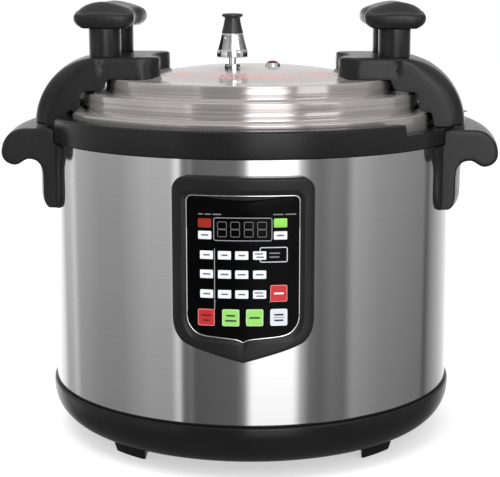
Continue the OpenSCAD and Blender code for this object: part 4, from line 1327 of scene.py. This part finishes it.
keys = ["key_function", "key_mode", "key_hold", "key_preset", "key_cancel"]
kmat = [KRED, KRED, KGRN, KGRN, KGRY]
kmark = [MARKW, KDRED, KEYMARK, KEYMARK, KEYMARK]
kbord = [BORDER, BORDER, BORDERG, BORDERG, MARKW]
krows = [((0, 8.6),), ((1.9, 9.0), (-2.6, 5.6)), ((1.9, 7.6), (-2.6, 9.8)), ((0, 9.2),), ((2.4, 8.0), (0, 9.6), (-2.6, 8.0))]


def key_strip(cx, cz, w, h, c, width, r0, r1):
    a = math.asin(cx / 201.3)
    s, q = math.sin(a), math.cos(a)

    def at(u, v_, d):
        return (d * s + u * q, -d * q + u * s, cz + v_)
    o_ = ccw(rrect(w, h, c, 5))
    return strip(o_, inset(o_, width), r0, r1, at, edge=0.1)


def key_bar(cx, cz, dz, w, h, r0, r1):
    a = math.asin(cx / 201.3)
    s, q = math.sin(a), math.cos(a)
    pts = rrect(w, h, h * 0.3, 2)
    return loft([[(d * s + u * q, -d * q + u * s, cz + dz + v_) for u, v_ in pts] for d in (r0, r1)])


for i, nm in enumerate(keys):
    v, f = pad(key_x[i], key_z[i], 14.8, 14.8, 1.4, 200.05, 201.9, bevel=0.45)
    make(nm + "_cap", v, f, kmat[i].m, nm + "_pad", nm, sharp=50)
    parts = []
    for dz, w in krows[i]:
        h = 1.5 if not (i == 4 and dz == 0) else 0.4
        parts.append(key_bar(key_x[i], key_z[i], dz, w, h, 201.85, 201.96))
    v, f = join(*parts)
    make(nm + "_bars", v, f, kmark[i].m, nm + "_pad")
    v, f = key_strip(key_x[i], key_z[i], 14.6, 14.6, 1.3, 0.55, 201.5, 201.93)
    make(nm + "_edge", v, f, kbord[i].m, nm + "_pad")

# ------------------------------------------- CAD pieces that stay as they are

stay = {"base_plate": SHEET, "foot_screws": ZINC, "ring_screws": ZINC, "temperature_sensor": CHROME, "sensor_spring": ZINC,
        "insulation": WOOL, "pressure_switch": DARKPART, "power_board": BOARD, "power_parts": DARKPART, "control_board": BOARD,
        "cord_gland": GLAND, "gland_nut": GLAND, "handle_screws": ZINC, "arm_screws": ZINC, "grip_screws": ZINC,
        "vent_nut": ZINC, "filter_cap": POT_OUT, "float_clip": ZINC, "wire_staple": CHROME}
for nm, mt in stay.items():
    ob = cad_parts[nm]
    if not ob.material_slots:
        ob.data.materials.append(mt.m)
    for sl in ob.material_slots:
        sl.material = mt.m

# ------------------------------------------------------ floor and light

fm = Mat("floor_paper", (0.68, 0.68, 0.68, 1), 0.0, 0.9, 0.1)
n = fm.noise(fm.scaled(3, 3, 3), 1.0, 2.0)
fm.vary_color(n, (0.67, 0.67, 0.67, 1))
fm.b.inputs["Emission Color"].default_value = (1, 1, 1, 1)
fm.b.inputs["Emission Strength"].default_value = 0.52
me = bpy.data.meshes.new("floor")
S = 6.0
me.from_pydata([(-S, -S, -0.0002), (S, -S, -0.0002), (S, S, -0.0002), (-S, S, -0.0002)], [], [(0, 1, 2, 3)])
me.materials.append(fm.m)
floor = bpy.data.objects.new("floor", me)
scene.collection.objects.link(floor)
floor.visible_glossy = False


def lamp(name, loc, target, size, power, glossy=False):
    ld = bpy.data.lights.new(name, "AREA")
    ld.shape = "RECTANGLE"
    ld.size, ld.size_y = size
    ld.energy = power
    lo = bpy.data.objects.new(name, ld)
    lo.location = loc
    lo.rotation_euler = (Vector(target) - Vector(loc)).to_track_quat("-Z", "Y").to_euler()
    scene.collection.objects.link(lo)
    lo.visible_glossy = glossy
    return lo


lamp("softbox_top", (-0.25, -0.15, 1.9), (0, 0, 0.2), (1.8, 1.8), 26)
lamp("softbox_right", (1.5, -1.3, 0.9), (0, 0, 0.25), (0.9, 1.1), 4.5, glossy=True)

world = bpy.data.worlds.new("studio")
scene.world = world
world.use_nodes = True
world.cycles.sampling_method = "NONE"
nt = world.node_tree
nt.nodes.clear()


def wn(kind, **props):
    n_ = nt.nodes.new(kind)
    for a_, b_ in props.items():
        setattr(n_, a_, b_)
    return n_


def wmath(op, a, b=None, c=None):
    n_ = wn("ShaderNodeMath", operation=op)
    for i_, q in enumerate((a, b, c)):
        if q is None:
            continue
        if isinstance(q, (int, float)):
            n_.inputs[i_].default_value = q
        else:
            nt.links.new(q, n_.inputs[i_])
    return n_.outputs[0]


def wstep(val, lo, hi):
    n_ = wn("ShaderNodeMapRange", interpolation_type="SMOOTHSTEP")
    n_.inputs["From Min"].default_value = lo
    n_.inputs["From Max"].default_value = hi
    nt.links.new(val, n_.inputs["Value"])
    return n_.outputs["Result"]


def wmix(a, b, fac):
    # a + (b - a) * fac
    d = wmath("SUBTRACT", b, a)
    return wmath("ADD", a, wmath("MULTIPLY", d, fac)) if not isinstance(a, (int, float)) else wmath("MULTIPLY_ADD", d, fac, a)


tc = wn("ShaderNodeTexCoord")
sep = wn("ShaderNodeSeparateXYZ")
nt.links.new(tc.outputs["Generated"], sep.inputs[0])
theta = wmath("ARCTAN2", sep.outputs["X"], wmath("MULTIPLY", sep.outputs["Y"], -1.0))
fac = wmath("MULTIPLY_ADD", theta, 1.0 / (2 * PI), 0.5)
ramp = wn("ShaderNodeValToRGB")
bands = [(-180, 1.6), (-148, 1.45), (-138, 1.2), (-131, 0.62), (-124, 0.66), (-119, 0.86), (-114, 0.52), (-92, 0.40), (-76, 0.40), (-58, 0.57),
         (-43, 0.57), (-40, 1.05), (-38.5, 1.05), (-36.5, 0.26), (-33.5, 0.20), (-32, 0.30), (-30, 0.155), (-6, 0.19), (-1.8, 0.38), (2.4, 1.9), (26, 1.9), (29.5, 0.75),
         (34.5, 0.26), (41, 0.19), (48, 0.27), (56, 0.23), (61, 0.50), (80, 0.37), (117, 0.27), (120.7, 0.12), (128, 0.36), (180, 1.6)]
TOP = 2.0
els = ramp.color_ramp.elements
while len(els) > 1:
    els.remove(els[-1])
els[0].position = 0.0
els[0].color = (bands[0][1] / TOP,) * 3 + (1,)
for a_, b_ in bands[1:]:
    e = els.new((a_ + 180) / 360.0)
    e.color = (b_ / TOP,) * 3 + (1,)
nt.links.new(fac, ramp.inputs["Fac"])
band = wmath("MULTIPLY", ramp.outputs["Color"], TOP)
zz = sep.outputs["Z"]
grad = wmath("MULTIPLY_ADD", zz, 2.0, 1.46)
up = wmix(wmath("MULTIPLY", band, 0.52), 0.62, wstep(zz, 0.15, 0.75))
win = wmath("MULTIPLY", wstep(theta, rad(-4), rad(3)), wmath("SUBTRACT", 1.0, wstep(theta, rad(24), rad(34))))
win = wmath("MULTIPLY", win, wmath("MULTIPLY", wstep(zz, 0.04, 0.16), wmath("SUBTRACT", 1.0, wstep(zz, 0.60, 0.85))))
up = wmix(up, 4.2, win)
band2 = wmix(wmath("MULTIPLY", band, grad), up, wstep(zz, 0.0, 0.08))
low = wmix(0.16, band2, wstep(zz, -0.55, -0.32))
lp = wn("ShaderNodeLightPath")
v_ = wmix(low, 0.92, lp.outputs["Is Diffuse Ray"])
v_ = wmix(v_, 1.0, lp.outputs["Is Camera Ray"])
bg = wn("ShaderNodeBackground")
nt.links.new(v_, bg.inputs["Strength"])
bg.inputs["Color"].default_value = (1, 1, 1, 1)
out = wn("ShaderNodeOutputWorld")
nt.links.new(bg.outputs[0], out.inputs["Surface"])

# --------------------------------------------------------------- camera

cam = bpy.data.cameras.new("camera")
cam.sensor_width = 36
cam.lens = 97.44
cam.shift_x = -0.002
cam.clip_start, cam.clip_end = 0.05, 50
co = bpy.data.objects.new("camera", cam)
co.location = (0.0465, -1.3318, 0.4353)
co.rotation_euler = (rad(79.26), 0, rad(2.0))
scene.collection.objects.link(co)
scene.camera = co

scene.view_settings.view_transform = "Standard"
scene.view_settings.look = "None"
scene.view_settings.exposure = 0.0
scene.view_settings.gamma = 1.0
